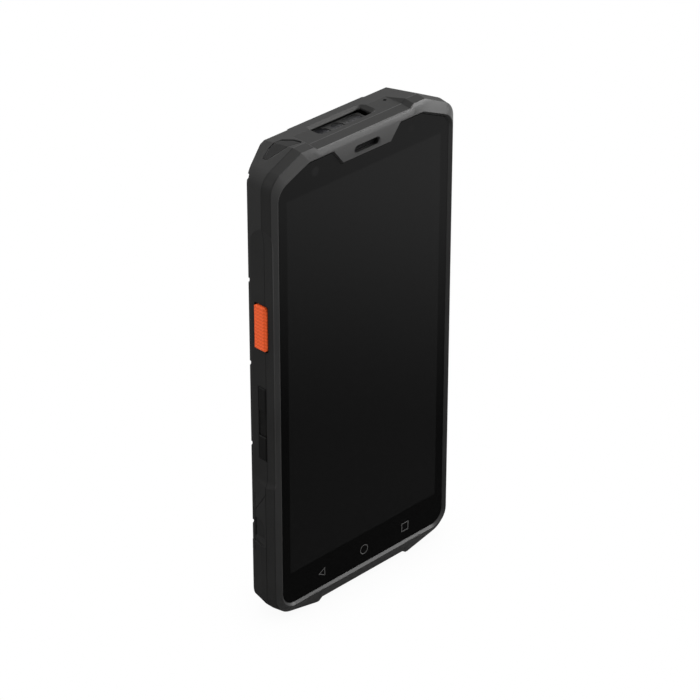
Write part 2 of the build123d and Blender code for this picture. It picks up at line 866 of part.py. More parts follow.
def window_surround():
    """Thickened wall under the scan window that holds its glass."""
    half = window_length / 2 + window_frame
    depths = (tray_depth - wall, window_mid_depth + window_width / 2 + window_frame)
    heights = (window_top - window_thickness - window_play, recess_floor_height - window_bevel_drop)
    return block((window_mid - half, window_mid + half), depths, heights) & rear_form(wall / 2, parting_depth)


def window_cutter():
    """Bevelled scan opening and the seat for its glass, cut from inside."""
    floor = recess_floor_height
    top = Pos(0, glass_y, floor) * window_plan()
    bottom = Pos(0, glass_y, floor - window_bevel_drop) * window_plan(window_bevel)
    funnel = loft([bottom, top], ruled=True) + upright(window_plan(), floor, above)
    shaft = upright(window_plan(window_bevel), window_top - window_room, floor)
    seat_plan = window_plan(window_bevel - window_ledge - window_play)
    seat = upright(seat_plan, window_top - window_room, window_top)
    return funnel + shaft + seat


def battery_bay():
    """Space for the battery, open to the back."""
    half = battery_half + battery_play
    return block((-half, half), (tray_depth + tray_thickness, island_depth),
                 (battery_bottom_height - battery_play,
                  battery_bottom_height + battery_length + battery_play))


def tab_pockets():
    """Pockets that take the cover's two hinge tabs."""
    half = tab_width / 2 + cover_gap
    low = cover_top_height - tab_root - cover_play - tab_end_room
    high = cover_top_height + tab_reach + tab_end_room
    pocket = block((tab_pitch / 2 - half, tab_pitch / 2 + half),
                   (skin_depth - tab_thickness - tab_swing, skin_depth), (low, high))
    return both_sides(pocket)


def lower_bay():
    """Room for the charging socket and its board at the bottom end."""
    return block((-lower_bay_half, lower_bay_half), (tray_depth - past, lower_bay_depth),
                 (flange + lower_bay_wall, battery_bottom_height - battery_play - lower_bay_wall))


def terminal_row(gap=0.0):
    """Row of battery terminals below the battery, with a gap all round."""
    row = Part()
    high = battery_bottom_height - glue_gap
    for index in range(terminal_count):
        across = (index - (terminal_count - 1) / 2) * terminal_pitch
        half = terminal_width / 2 + gap
        row += block((across - half, across + half),
                     (terminal_depth - terminal_height / 2 - gap, terminal_depth + terminal_height / 2 + gap),
                     (high - terminal_length - gap, high))
    return row


def terminal_pockets():
    """Pockets in the tray's end wall for the battery terminals."""
    return terminal_row(glue_gap)


def screw_bosses():
    """Square posts through the board space that the housing screws clamp."""
    posts = Part()
    for height in screw_heights:
        posts += block((screw_across - boss_half, screw_across + boss_half),
                       (parting_depth, tray_depth + tray_thickness / 2),
                       (height - boss_half, height + boss_half))
    return both_sides(posts)


def screw_spaces():
    """Counterbores and clearance holes for the housing screws."""
    head_depth = screw_head_depth - screw_play
    cutter = Part()
    for height in screw_heights:
        cutter += rod(screw_across, height, screw_shaft_radius + screw_play, deck_depth, head_depth + past)
        cutter += rod(screw_across, height, screw_head_radius + screw_play, head_depth, back_depth)
    return both_sides(cutter)


def side_openings():
    """Pockets and stem holes for both triggers and all side keys."""
    shared = trigger_pocket() + stem_hole(trigger_stem())
    power = side_pocket(key_mid_height, power_length, key_front_depth, key_back_depth, key_gap)
    volume = block((key_saddle_half, far_half), (key_front_depth - key_gap, key_back_depth + key_gap),
                   (key_mid_height - key_pitch / 2, key_mid_height + key_pitch / 2))
    for height in volume_heights:
        volume += side_pocket(height, key_length, key_front_depth, key_back_depth, key_gap)
        volume += stem_hole(key_stem(height))
    return both_sides(shared) + power + stem_hole(key_stem(key_mid_height)) + left_hand(volume)


def jack_space():
    """Seat for the rubber cover and the way down to the headset socket."""
    skin = jack_cover_thickness + jack_cover_gap
    seat = upright(jack_plan(), display_mid_height, above) - rear_form(skin)
    room = jack_half + glass_gap
    socket = block((jack_across - room, jack_across + room), (jack_mid_depth - room, jack_mid_depth + room),
                   (jack_socket_top - jack_length - past, jack_socket_top + glass_gap))
    bore = upright(Pos(jack_across, jack_mid_depth) * Circle(jack_bore_radius), jack_socket_top, top_height)
    return seat + socket + bore


def rear_openings():
    """Camera and flash wells, speaker holes, microphone, socket and contact holes."""
    cutter = rod(0, camera_height, camera_radius + glass_gap, island_depth - camera_step, behind)
    cutter += rod(0, camera_height, camera_glass_radius - camera_lip, skin_depth - past, island_depth)
    cutter += rod(flash_across, camera_height, flash_radius + glass_gap, skin_depth - past, behind)
    slot = Rectangle(speaker_slot_width, speaker_slot_length)
    for index in range(speaker_slots):
        across = speaker_across + (index - (speaker_slots - 1) / 2) * speaker_pitch
        cutter += slab(Pos(across, speaker_mid_height) * slot, skin_depth - past, island_depth)
    hole = Circle(mic_radius)
    cutter += upright(Pos(mic_across, mic_depth) * hole, top_height - mic_hole_depth, top_height)
    cutter += upright(Pos(lower_mic_across, usb_mid_depth) * hole, 0, lower_board_low)
    cutter += upright(Pos(0, usb_mid_depth) * usb_section(usb_gap), 0, lower_board_low + past)
    return cutter + contact_row(behind)


def contact_row(back):
    """Row of flat contacts in the back of the bottom end, up to a depth."""
    row = Part()
    for index in range(contact_count):
        across = (index - (contact_count - 1) / 2) * contact_pitch
        row += block((across - contact_width / 2, across + contact_width / 2),
                     (back_depth - contact_thickness, back),
                     (contact_height - contact_length / 2, contact_height + contact_length / 2))
    return row


def battery_cover():
    """Removable cover: back panel, side wings and the two tabs that it swings on."""
    skin = rear_form() - rear_form(cover_wall, wing_front_depth - past)
    under = skin_depth - tab_gap
    sides = (tab_pitch / 2 - tab_width / 2, tab_pitch / 2 + tab_width / 2)
    low = cover_top_height - tab_root
    tab = block(sides, (under - tab_thickness, under), (low, cover_top_height + tab_reach))
    tab += block(sides, (under - tab_thickness, back_depth - cover_wall / 2),
                 (low, cover_top_height - tab_shoulder))
    return (skin & cover_zone()) + both_sides(tab) - groove_set()


# ---------------- screen side ----------------

def cover_glass():
    """Cover glass with the notch for the brow."""
    return slab(glass_outline() - brow_outline(-brow_gap), 0, glass_thickness)


def display_panel():
    """Display module bonded to the back of the glass."""
    size = Rectangle(active_width + 2 * display_border, active_height + 2 * display_border)
    return slab(Pos(0, display_mid_height) * size, seat_depth, seat_depth + display_thickness)


def earpiece_mesh():
    """Fine mesh behind the earpiece slot."""
    shape = SlotOverall(slot_length + 2 * mesh_margin, slot_width + 2 * mesh_margin)
    return slab(Pos(0, slot_height) * shape, frame_front_depth, frame_front_depth + mesh_thickness)


def earpiece_receiver():
    """Small loudspeaker for calls."""
    start = frame_front_depth + mesh_thickness + glue_gap
    return block((-receiver_length / 2, receiver_length / 2), (start, start + receiver_thickness),
                 (slot_height - receiver_width / 2, slot_height + receiver_width / 2))


def front_camera():
    """Camera module behind the glass."""
    step = seat_depth + front_lens_length
    lens = rod(front_camera_across, front_camera_height, front_lens_radius, seat_depth, step)
    return lens + front_camera_block(step, deck_depth - glue_gap)


def light_sensor():
    """Light and proximity sensor behind the glass."""
    return sensor_block(seat_depth, seat_depth + sensor_thickness)


def perimeter_seal():
    """Rubber seal between the frame and the rear housing."""
    outer = body_outline(frame_flare - seal_inset)
    inner = body_outline(frame_flare - seal_inset - seal_width)
    return slab(outer - inner, parting_depth, parting_depth + seal_height)


# ---------------- electronics ----------------

def main_board():
    """Upper circuit board with a notch for each screw post."""
    body = block((-board_half, board_half), (board_depth, board_back_depth),
                 (board_bottom_height, board_top_height))
    corners = body.edges().filter_by(Axis.Y)
    body = chamfer(corners.sort_by(Axis.Z)[-2:], board_corner)
    reach = boss_half + boss_gap
    notch = block((screw_across - reach, far_half), (parting_depth, tray_depth),
                  (screw_heights[-1] - reach, screw_heights[-1] + reach))
    return body - both_sides(notch)


def shield_cans():
    """Two pressed metal cans over the processor and the radio."""
    roof = board_back_depth + can_height
    low = board_bottom_height + can_margin
    high = board_top_height - can_top_margin
    sizes = ((can_half, low, low + can_length), (small_can_half, high - small_can_length, high))
    cans = Part()
    for half, start, end in sizes:
        cans += block((-half, half), (board_back_depth, roof), (start, end))
        cans -= block((-half + can_sheet, half - can_sheet), (board_back_depth, roof - can_sheet),
                      (start + can_sheet, end - can_sheet))
    return cans


def lower_board():
    """Small board for the charging socket and the lower microphone."""
    return block((-lower_board_half, lower_board_half), (board_depth, board_back_depth),
                 (lower_board_low, lower_board_low + lower_board_height))


def usb_section(grow=0.0):
    """Outline of the charging socket's shell, grown outwards."""
    width = usb_width + 2 * grow
    height = usb_height + 2 * grow
    return RectangleRounded(width, height, height / 2 - glue_gap)


def usb_socket_shell():
    """Stamped shell of the charging socket."""
    place = Pos(0, usb_mid_depth)
    low = base_height + usb_setback
    tube = upright(place * usb_section(), low, low + usb_length)
    return tube - upright(place * usb_section(-usb_sheet), low, low + usb_length - usb_sheet)


def usb_socket_tongue():
    """Contact tongue inside the charging socket."""
    low = base_height + usb_setback + usb_tongue_setback
    high = base_height + usb_setback + usb_length - usb_sheet
    half = usb_tongue_thickness / 2
    return block((-usb_tongue_width / 2, usb_tongue_width / 2),
                 (usb_mid_depth - half, usb_mid_depth + half), (low, high))


def battery_pack():
    """Flat lithium pack with rounded long edges."""
    body = block((-battery_half, battery_half), (battery_depth, battery_depth + battery_thickness),
                 (battery_bottom_height, battery_bottom_height + battery_length))
    return fillet(body.edges().filter_by(Axis.Z), battery_edge)


def battery_terminals():
    """Sprung contacts against the battery's lower end."""
    return terminal_row()


def loudspeaker():
    """Boxed loudspeaker behind its grille."""
    back = skin_depth - mesh_thickness - module_gap
    return block((speaker_across - speaker_width / 2, speaker_across + speaker_width / 2),
                 (back - speaker_thickness, back),
                 (speaker_mid_height - speaker_length / 2, speaker_mid_height + speaker_length / 2))


def speaker_mesh():
    """Dust mesh between the loudspeaker and the grille."""
    back = skin_depth - glue_gap
    half_width = (speaker_slots - 1) * speaker_pitch / 2 + speaker_slot_width / 2 + mesh_margin
    half_height = speaker_slot_length / 2 + mesh_margin
    return block((speaker_across - half_width, speaker_across + half_width), (back - mesh_thickness, back),
                 (speaker_mid_height - half_height, speaker_mid_height + half_height))


def vibration_motor():
    """Coin vibration motor."""
    start = tray_depth + motor_gap
    return rod(motor_across, speaker_mid_height, motor_radius, start, start + motor_thickness)


def microphone(across, depth, low):
    """One boxed microphone standing on a height."""
    half = mic_size / 2
    return block((across - half, across + half), (depth - half, depth + half), (low, low + mic_thickness))


def microphones():
    """Microphones under their holes in the top and bottom ends."""
    upper = microphone(mic_across, mic_depth, recess_floor_height - wall - mic_gap - mic_thickness)
    return upper + microphone(lower_mic_across, usb_mid_depth, lower_board_low)


def rear_camera_trim():
    """Ring round the rear camera, standing a little proud."""
    base = island_depth - camera_step
    ring = rod(0, camera_height, camera_radius, base, island_depth + camera_rise)
    return ring - rod(0, camera_height, camera_glass_radius + glue_gap, base - past, behind)


def rear_camera_glass():
    """Cover glass of the rear camera."""
    start = island_depth - camera_step
    return rod(0, camera_height, camera_glass_radius, start, start + camera_glass_thickness)


def rear_camera():
    """Rear camera module."""
    back = skin_depth - module_gap
    half = camera_body / 2
    body = block((-half, half), (back - camera_thickness, back),
                 (camera_height - half, camera_height + half))
    lens_radius = camera_glass_radius - camera_lens_inset
    return body + rod(0, camera_height, lens_radius, back, island_depth - camera_step)


def flash_window():
    """Clear window of the camera flash."""
    back = island_depth
    return rod(flash_across, camera_height, flash_radius, back - flash_thickness, back)


def charging_contacts():
    """Row of gold contacts for a cradle."""
    return contact_row(back_depth - module_gap)


def jack_socket():
    """Headset socket below its rubber cover."""
    low = jack_socket_top - jack_length
    body = block((jack_across - jack_half, jack_across + jack_half),
                 (jack_mid_depth - jack_half, jack_mid_depth + jack_half), (low, jack_socket_top))
    bore = Pos(jack_across, jack_mid_depth) * Circle(jack_bore_radius)
    return body - upright(bore, low + jack_floor, jack_socket_top)


def jack_cover():
    """Rubber cover of the headset socket, flush with the corner, with its stub."""
    plan = jack_plan(jack_cover_gap)
    plan = plan & Pos(-nail_gap, -nail_gap_back) * plan
    skin = rear_form() - rear_form(jack_cover_thickness)
    cap = upright(plan, display_mid_height, above) & skin
    stub = upright(Pos(jack_across, jack_mid_depth) * Circle(jack_stub_radius),
                   top_height - jack_cover_thickness - jack_stub_length, top_height - jack_cover_thickness)
    return cap + stub


def housing_screws():
    """Four screws that clamp the housing to the frame."""
    head = screw_head_depth
    screws = Part()
    top = head + screw_head_height
    for height in screw_heights:
        screw = rod(screw_across, height, screw_shaft_radius, deck_depth, head)
        screw += rod(screw_across, height, screw_head_radius, head, top)
        hexagon = Pos(screw_across, height) * RegularPolygon(screw_socket_radius, 6)
        screws += both_sides(screw - slab(hexagon, top - screw_socket_depth, top))
    return screws


# ---------------- scanner ----------------

def scan_window():
    """Glass of the scan window, seated from inside."""
    return upright(window_plan(window_bevel - window_ledge), window_top - window_thickness, window_top)


def scan_engine():
    """Imaging engine that carries its lens, aimer and lamp."""
    top = window_top - window_thickness - engine_gap - lens_length
    half = engine_width / 2
    thick = engine_thickness / 2
    return block((window_mid - half, window_mid + half), (window_mid_depth - thick, window_mid_depth + thick),
                 (top - engine_length, top))


def scan_lenses():
    """Imager lens, aimer lens and lamp window, side by side on the scan engine."""
    depth_mid = window_mid_depth + lens_back_shift
    left = window_mid - engine_width / 2 + lens_margin
    shapes = Pos(left, depth_mid) * Circle(imager_radius)
    shapes += Pos(left + aimer_pitch, depth_mid) * Circle(aimer_radius)
    lamp = RectangleRounded(lamp_width, 2 * aimer_radius, lamp_radius)
    shapes += Pos(left + lamp_pitch, depth_mid) * lamp
    top = window_top - window_thickness - engine_gap
    return upright(shapes, top - lens_length, top)


# ---------------- triggers and keys ----------------

def scan_trigger():
    """Right-hand trigger: crowned cap with a broad bevel along its front, and a stem."""
    crown = grip_half + trigger_rise
    floor = pocket_floor_half + trigger_travel + trigger_gap
    low = trigger_mid_height - trigger_length / 2
    high = trigger_mid_height + trigger_length / 2
    front = trigger_front_depth
    back = trigger_back_depth
    across_depth = outline([(floor, front), (crown - trigger_bevel, front),
                            (crown, front + 2 * trigger_bevel), (crown, back - trigger_edge),
                            (crown - trigger_edge, back), (floor, back)])
    along = outline([(floor, low), (crown - trigger_edge, low), (crown, low + trigger_edge),
                     (crown, high - trigger_edge), (crown - trigger_edge, high), (floor, high)])
    face = RectangleRounded(back - front, trigger_length, trigger_radius)
    face = Pos((front + back) / 2, trigger_mid_height) * face
    side = Plane((floor, glass_y, 0), x_dir=(0, 1, 0), z_dir=(1, 0, 0))
    cap = upright(across_depth, low, high) & slab(along, front, back)
    cap &= extrude(side * face, amount=crown - floor)
    return cap + stem_block(trigger_stem(), (stem_end, floor + trigger_edge))


def side_key(height, length):
    """Right-hand key: a slim cap with a softened edge and a stem."""
    crown = grip_half + key_rise
    floor = pocket_floor_half + key_travel + key_gap
    cap = block((floor, crown), (key_front_depth, key_back_depth),
                (height - length / 2, height + length / 2))
    cap = chamfer(cap.faces().sort_by(Axis.X)[-1].edges(), key_edge)
    return cap + stem_block(key_stem(height), (stem_end, floor + key_edge))


def switch(stem, travel):
    """Right-hand tact switch behind a stem."""
    height, _, _, middle = stem
    outer = stem_end - travel - switch_gap
    return block((outer - switch_thickness, outer), (middle - switch_height / 2, middle + switch_height / 2),
                 (height - switch_length / 2, height + switch_length / 2))


def trigger_switches():
    """Tact switches behind both triggers."""
    return both_sides(switch(trigger_stem(), trigger_travel))


def key_switches():
    """Tact switches behind the power key and the two volume keys."""
    switches = switch(key_stem(key_mid_height), key_travel)
    for height in volume_heights:
        switches += left_hand(switch(key_stem(height), key_travel))
    return switches


def stem_seal_ring(stem):
    """Right-hand rubber ring round a stem."""
    across = (inner_half + glue_gap, inner_half + stem_seal_length - glue_gap)
    return stem_block(stem, across, stem_seal + stem_gap - glue_gap) - stem_block(stem, across, stem_gap)


def stem_seals():
    """Rubber rings round the stems of both triggers and all three keys."""
    rings = both_sides(stem_seal_ring(trigger_stem())) + stem_seal_ring(key_stem(key_mid_height))
    for height in volume_heights:
        rings += left_hand(stem_seal_ring(key_stem(height)))
    return rings


nodes = {
    "front_bezel": front_bezel,
    "mid_frame": mid_frame,
    "rear_housing": rear_housing,
    "battery_cover": battery_cover,
    "cover_glass": cover_glass,
    "display_panel": display_panel,
    "earpiece_mesh": earpiece_mesh,
    "earpiece_receiver": earpiece_receiver,
    "front_camera": front_camera,
    "light_sensor": light_sensor,
    "perimeter_seal": perimeter_seal,
    "main_board": main_board,
    "shield_cans": shield_cans,
    "lower_board": lower_board,
    "usb_socket_shell": usb_socket_shell,
    "usb_socket_tongue": usb_socket_tongue,
    "battery_pack": battery_pack,
    "battery_terminals": battery_terminals,
    "loudspeaker": loudspeaker,
    "speaker_mesh": speaker_mesh,
    "vibration_motor": vibration_motor,
    "microphones": microphones,
    "rear_camera_trim": rear_camera_trim,
    "rear_camera_glass": rear_camera_glass,
    "rear_camera": rear_camera,
    "flash_window": flash_window,
    "charging_contacts": charging_contacts,
    "jack_socket": jack_socket,
    "jack_cover": jack_cover,
    "housing_screws": housing_screws,
    "scan_window": scan_window,
    "scan_engine": scan_engine,
    "scan_lenses": scan_lenses,
    "scan_trigger_right": scan_trigger,
    "scan_trigger_left": lambda: left_hand(scan_trigger()),
    "volume_up_key": lambda: left_hand(side_key(key_mid_height + key_pitch / 2, key_length)),
    "volume_down_key": lambda: left_hand(side_key(key_mid_height - key_pitch / 2, key_length)),
    "power_key": lambda: side_key(key_mid_height, power_length),
    "trigger_switches": trigger_switches,
    "key_switches": key_switches,
    "stem_seals": stem_seals,
}

os.makedirs("parts", exist_ok=True)
for name, make in nodes.items():
    export_step(make(), f"parts/{name}.step")
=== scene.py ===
import logging
import math
from dataclasses import dataclass
from enum import Enum
from functools import cache
from typing import Optional, Sequence

import bmesh
import bpy
from mathutils import Matrix, Vector


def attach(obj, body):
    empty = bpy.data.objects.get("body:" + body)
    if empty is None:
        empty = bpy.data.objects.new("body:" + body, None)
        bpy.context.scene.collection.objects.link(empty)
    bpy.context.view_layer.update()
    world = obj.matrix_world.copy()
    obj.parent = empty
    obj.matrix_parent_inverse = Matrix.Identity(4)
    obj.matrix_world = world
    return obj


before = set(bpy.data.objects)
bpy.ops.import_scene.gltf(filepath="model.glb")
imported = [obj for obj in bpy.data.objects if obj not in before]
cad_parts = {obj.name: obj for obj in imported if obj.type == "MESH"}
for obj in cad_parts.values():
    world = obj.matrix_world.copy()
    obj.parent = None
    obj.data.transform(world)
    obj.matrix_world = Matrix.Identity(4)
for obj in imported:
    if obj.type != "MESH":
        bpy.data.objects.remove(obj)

log = logging.getLogger("terminal")

MM = 0.001
GLASS_Y = -7.95 * MM          # outer face of the cover glass
FORWARD = (0.0, -1.0, 0.0)    # the way the screen faces
MIX_SOCKETS = {"FLOAT": (2, 0), "VECTOR": (4, 1), "RGBA": (6, 2)}   # first input and output by kind

Group = bpy.types.NodeTree
Material = bpy.types.Material
Node = bpy.types.Node
Socket = bpy.types.NodeSocket
Thing = bpy.types.Object
Colour = tuple[float, float, float]
Place = tuple[float, float, float]
Point = tuple[float, float]


def grey(value: float) -> Colour:
    """Neutral colour of one linear value."""
    return (value, value, value)


def scaled(colour: Colour, factor: float) -> Colour:
    """Colour made darker or lighter, with no part above 1."""
    return tuple(min(1.0, factor * part) for part in colour)


class Body(Enum):
    """Rigid bodies of the frame that added pieces ride on."""

    TERMINAL = "terminal"


class Tree:
    """Short calls for building one node tree."""

    def __init__(self, tree: Group) -> None:
        """Wrap the node tree of a material, a world or a group."""
        self.tree = tree

    def node(self, kind: str, **settings: object) -> Node:
        """Add a node.

        Args:
            kind: Node type without its "ShaderNode" prefix.
            settings: Properties of the node.

        Returns:
            The new node.
        """
        new = self.tree.nodes.new("ShaderNode" + kind)
        for key, value in settings.items():
            setattr(new, key, value)
        return new

    def put(self, target: Socket, value: object) -> None:
        """Link a socket, or set it to a plain value.

        Args:
            target: The input to fill.
            value: An output socket, a number, a vector or a colour.
        """
        if isinstance(value, Socket):
            self.tree.links.new(value, target)
        elif target.type == "RGBA":
            target.default_value = (*value, 1.0)
        else:
            target.default_value = value

    def feed(self, node: Node, **values: object) -> None:
        """Fill a node's inputs by name, underscores standing for spaces."""
        for key, value in values.items():
            self.put(node.inputs[key.replace("_", " ")], value)

    def group(self, group: Group, **values: object) -> bpy.types.NodeOutputs:
        """Place a node group.

        Args:
            group: The group.
            values: Its inputs by name, underscores standing for spaces.

        Returns:
            The group's outputs.
        """
        new = self.node("Group", node_tree=group)
        self.feed(new, **values)
        return new.outputs

    def math(self, operation: str, *values: object, clamp: bool = False) -> Socket:
        """Add a math node.

        Args:
            operation: Blender's name of the operation.
            values: Its inputs, sockets or numbers.
            clamp: Whether the result stays between 0 and 1.

        Returns:
            The result.
        """
        new = self.node("Math", operation=operation, use_clamp=clamp)
        for target, value in zip(new.inputs, values):
            self.put(target, value)
        return new.outputs[0]

    def add(self, first: object, second: object) -> Socket:
        """Sum of two values."""
        return self.math("ADD", first, second)

    def less(self, first: object, second: object) -> Socket:
        """First value less the second."""
        return self.math("SUBTRACT", first, second)

    def flip(self, value: object) -> Socket:
        """1 less a value."""
        return self.less(1.0, value)

    def unsigned(self, value: object) -> Socket:
        """A value without its sign."""
        return self.math("ABSOLUTE", value)

    def share(self, value: object, whole: object, clamp: bool = False) -> Socket:
        """A value divided by another."""
        return self.math("DIVIDE", value, whole, clamp=clamp)

    def product(self, first: object, *others: object) -> Socket:
        """Multiply two or more values.

        Args:
            first: The first value.
            others: The other values, in order.

        Returns:
            The product.
        """
        for other in others:
            first = self.math("MULTIPLY", first, other)
        return first

    def above(self, value: object, limit: object) -> Socket:
        """1 where a value is above a limit."""
        return self.math("GREATER_THAN", value, limit)

    def below(self, value: object, limit: object) -> Socket:
        """1 where a value is below a limit."""
        return self.math("LESS_THAN", value, limit)

    def ramp(self, value: object, low: object, high: object, start: object = 0.0,
             end: object = 1.0) -> Socket:
        """Map a value smoothly from one range to another.

        Args:
            value: The value to map.
            low: Where the result is start.
            high: Where the result is end.
            start: Result at low.
            end: Result at high.

        Returns:
            The mapped value.
        """
        new = self.node("MapRange", interpolation_type="SMOOTHSTEP")
        for target, item in zip(new.inputs, (value, low, high, start, end)):
            self.put(target, item)
        return new.outputs[0]

    def within(self, value: object, low: float, high: float, soft: float) -> Socket:
        """Mask of where a value lies in a range, fading over twice a width at each end."""
        return self.product(self.ramp(value, low - soft, low + soft),
                            self.ramp(value, high - soft, high + soft, 1.0, 0.0))

    def mix(self, kind: str, factor: object, first: object, second: object) -> Socket:
        """Mix two numbers, vectors or colours.

        Args:
            kind: Which of them, as a key of MIX_SOCKETS.
            factor: Share of the second.
            first: Result at 0.
            second: Result at 1.

        Returns:
            The mixed value.
        """
        start, result = MIX_SOCKETS[kind]
        new = self.node("Mix", data_type=kind)
        for index, value in ((0, factor), (start, first), (start + 1, second)):
            self.put(new.inputs[index], value)
        return new.outputs[result]

    def blend(self, factor: object, first: object, second: object) -> Socket:
        """Mix two colours."""
        return self.mix("RGBA", factor, first, second)

    def turn(self, factor: object, first: Socket, second: Socket) -> Socket:
        """Mix two normals.

        Args:
            factor: Share of the second normal.
            first: Normal at 0.
            second: Normal at 1.

        Returns:
            The mixed normal, of length 1.
        """
        unit = self.node("VectorMath", operation="NORMALIZE")
        self.put(unit.inputs[0], self.mix("VECTOR", factor, first, second))
        return unit.outputs[0]

    def noise(self, place: object, scale: object, detail: float = 2.0, rough: float = 0.5) -> Socket:
        """Add a noise texture.

        Args:
            place: Coordinates in metres.
            scale: Cells per metre.
            detail: Octaves.
            rough: Weight of the finer octaves.

        Returns:
            The noise value.
        """
        new = self.node("TexNoise")
        self.feed(new, Vector=place, Scale=scale, Detail=detail, Roughness=rough)
        return new.outputs["Fac"]

    def split(self, vector: Socket) -> tuple[Socket, Socket, Socket]:
        """Take a vector apart.

        Args:
            vector: The vector.

        Returns:
            Its three parts.
        """
        parts = self.node("SeparateXYZ")
        self.put(parts.inputs[0], vector)
        return tuple(parts.outputs)

    def place(self) -> tuple[Socket, Socket, Socket, Socket]:
        """Coordinates in the row frame, as a vector and as its three parts."""
        where = self.node("TexCoord").outputs["Object"]
        return (where, *self.split(where))

    def normal(self) -> Socket:
        """Unshaded normal of the surface."""
        return self.node("NewGeometry").outputs["True Normal"]

    def to_world(self, normal: object) -> Socket:
        """Turn a normal from the object's axes into the world's.

        Args:
            normal: The normal in the object's axes.

        Returns:
            The normal in the world's axes.
        """
        new = self.node("VectorTransform", vector_type="NORMAL", convert_from="OBJECT", convert_to="WORLD")
        self.put(new.inputs[0], normal)
        return new.outputs[0]

    def bump(self, height: Socket, distance: float, strength: float,
             normal: Optional[Socket] = None) -> Socket:
        """Add a bump node.

        Args:
            height: Height over the surface, between 0 and 1.
            distance: What a height of 1 stands for, in metres.
            strength: Strength of the effect.
            normal: The normal to start from, or None for the surface's own.

        Returns:
            The bumped normal.
        """
        new = self.node("Bump")
        self.feed(new, Height=height, Distance=distance, Strength=strength)
        if normal is not None:
            self.feed(new, Normal=normal)
        return new.outputs[0]


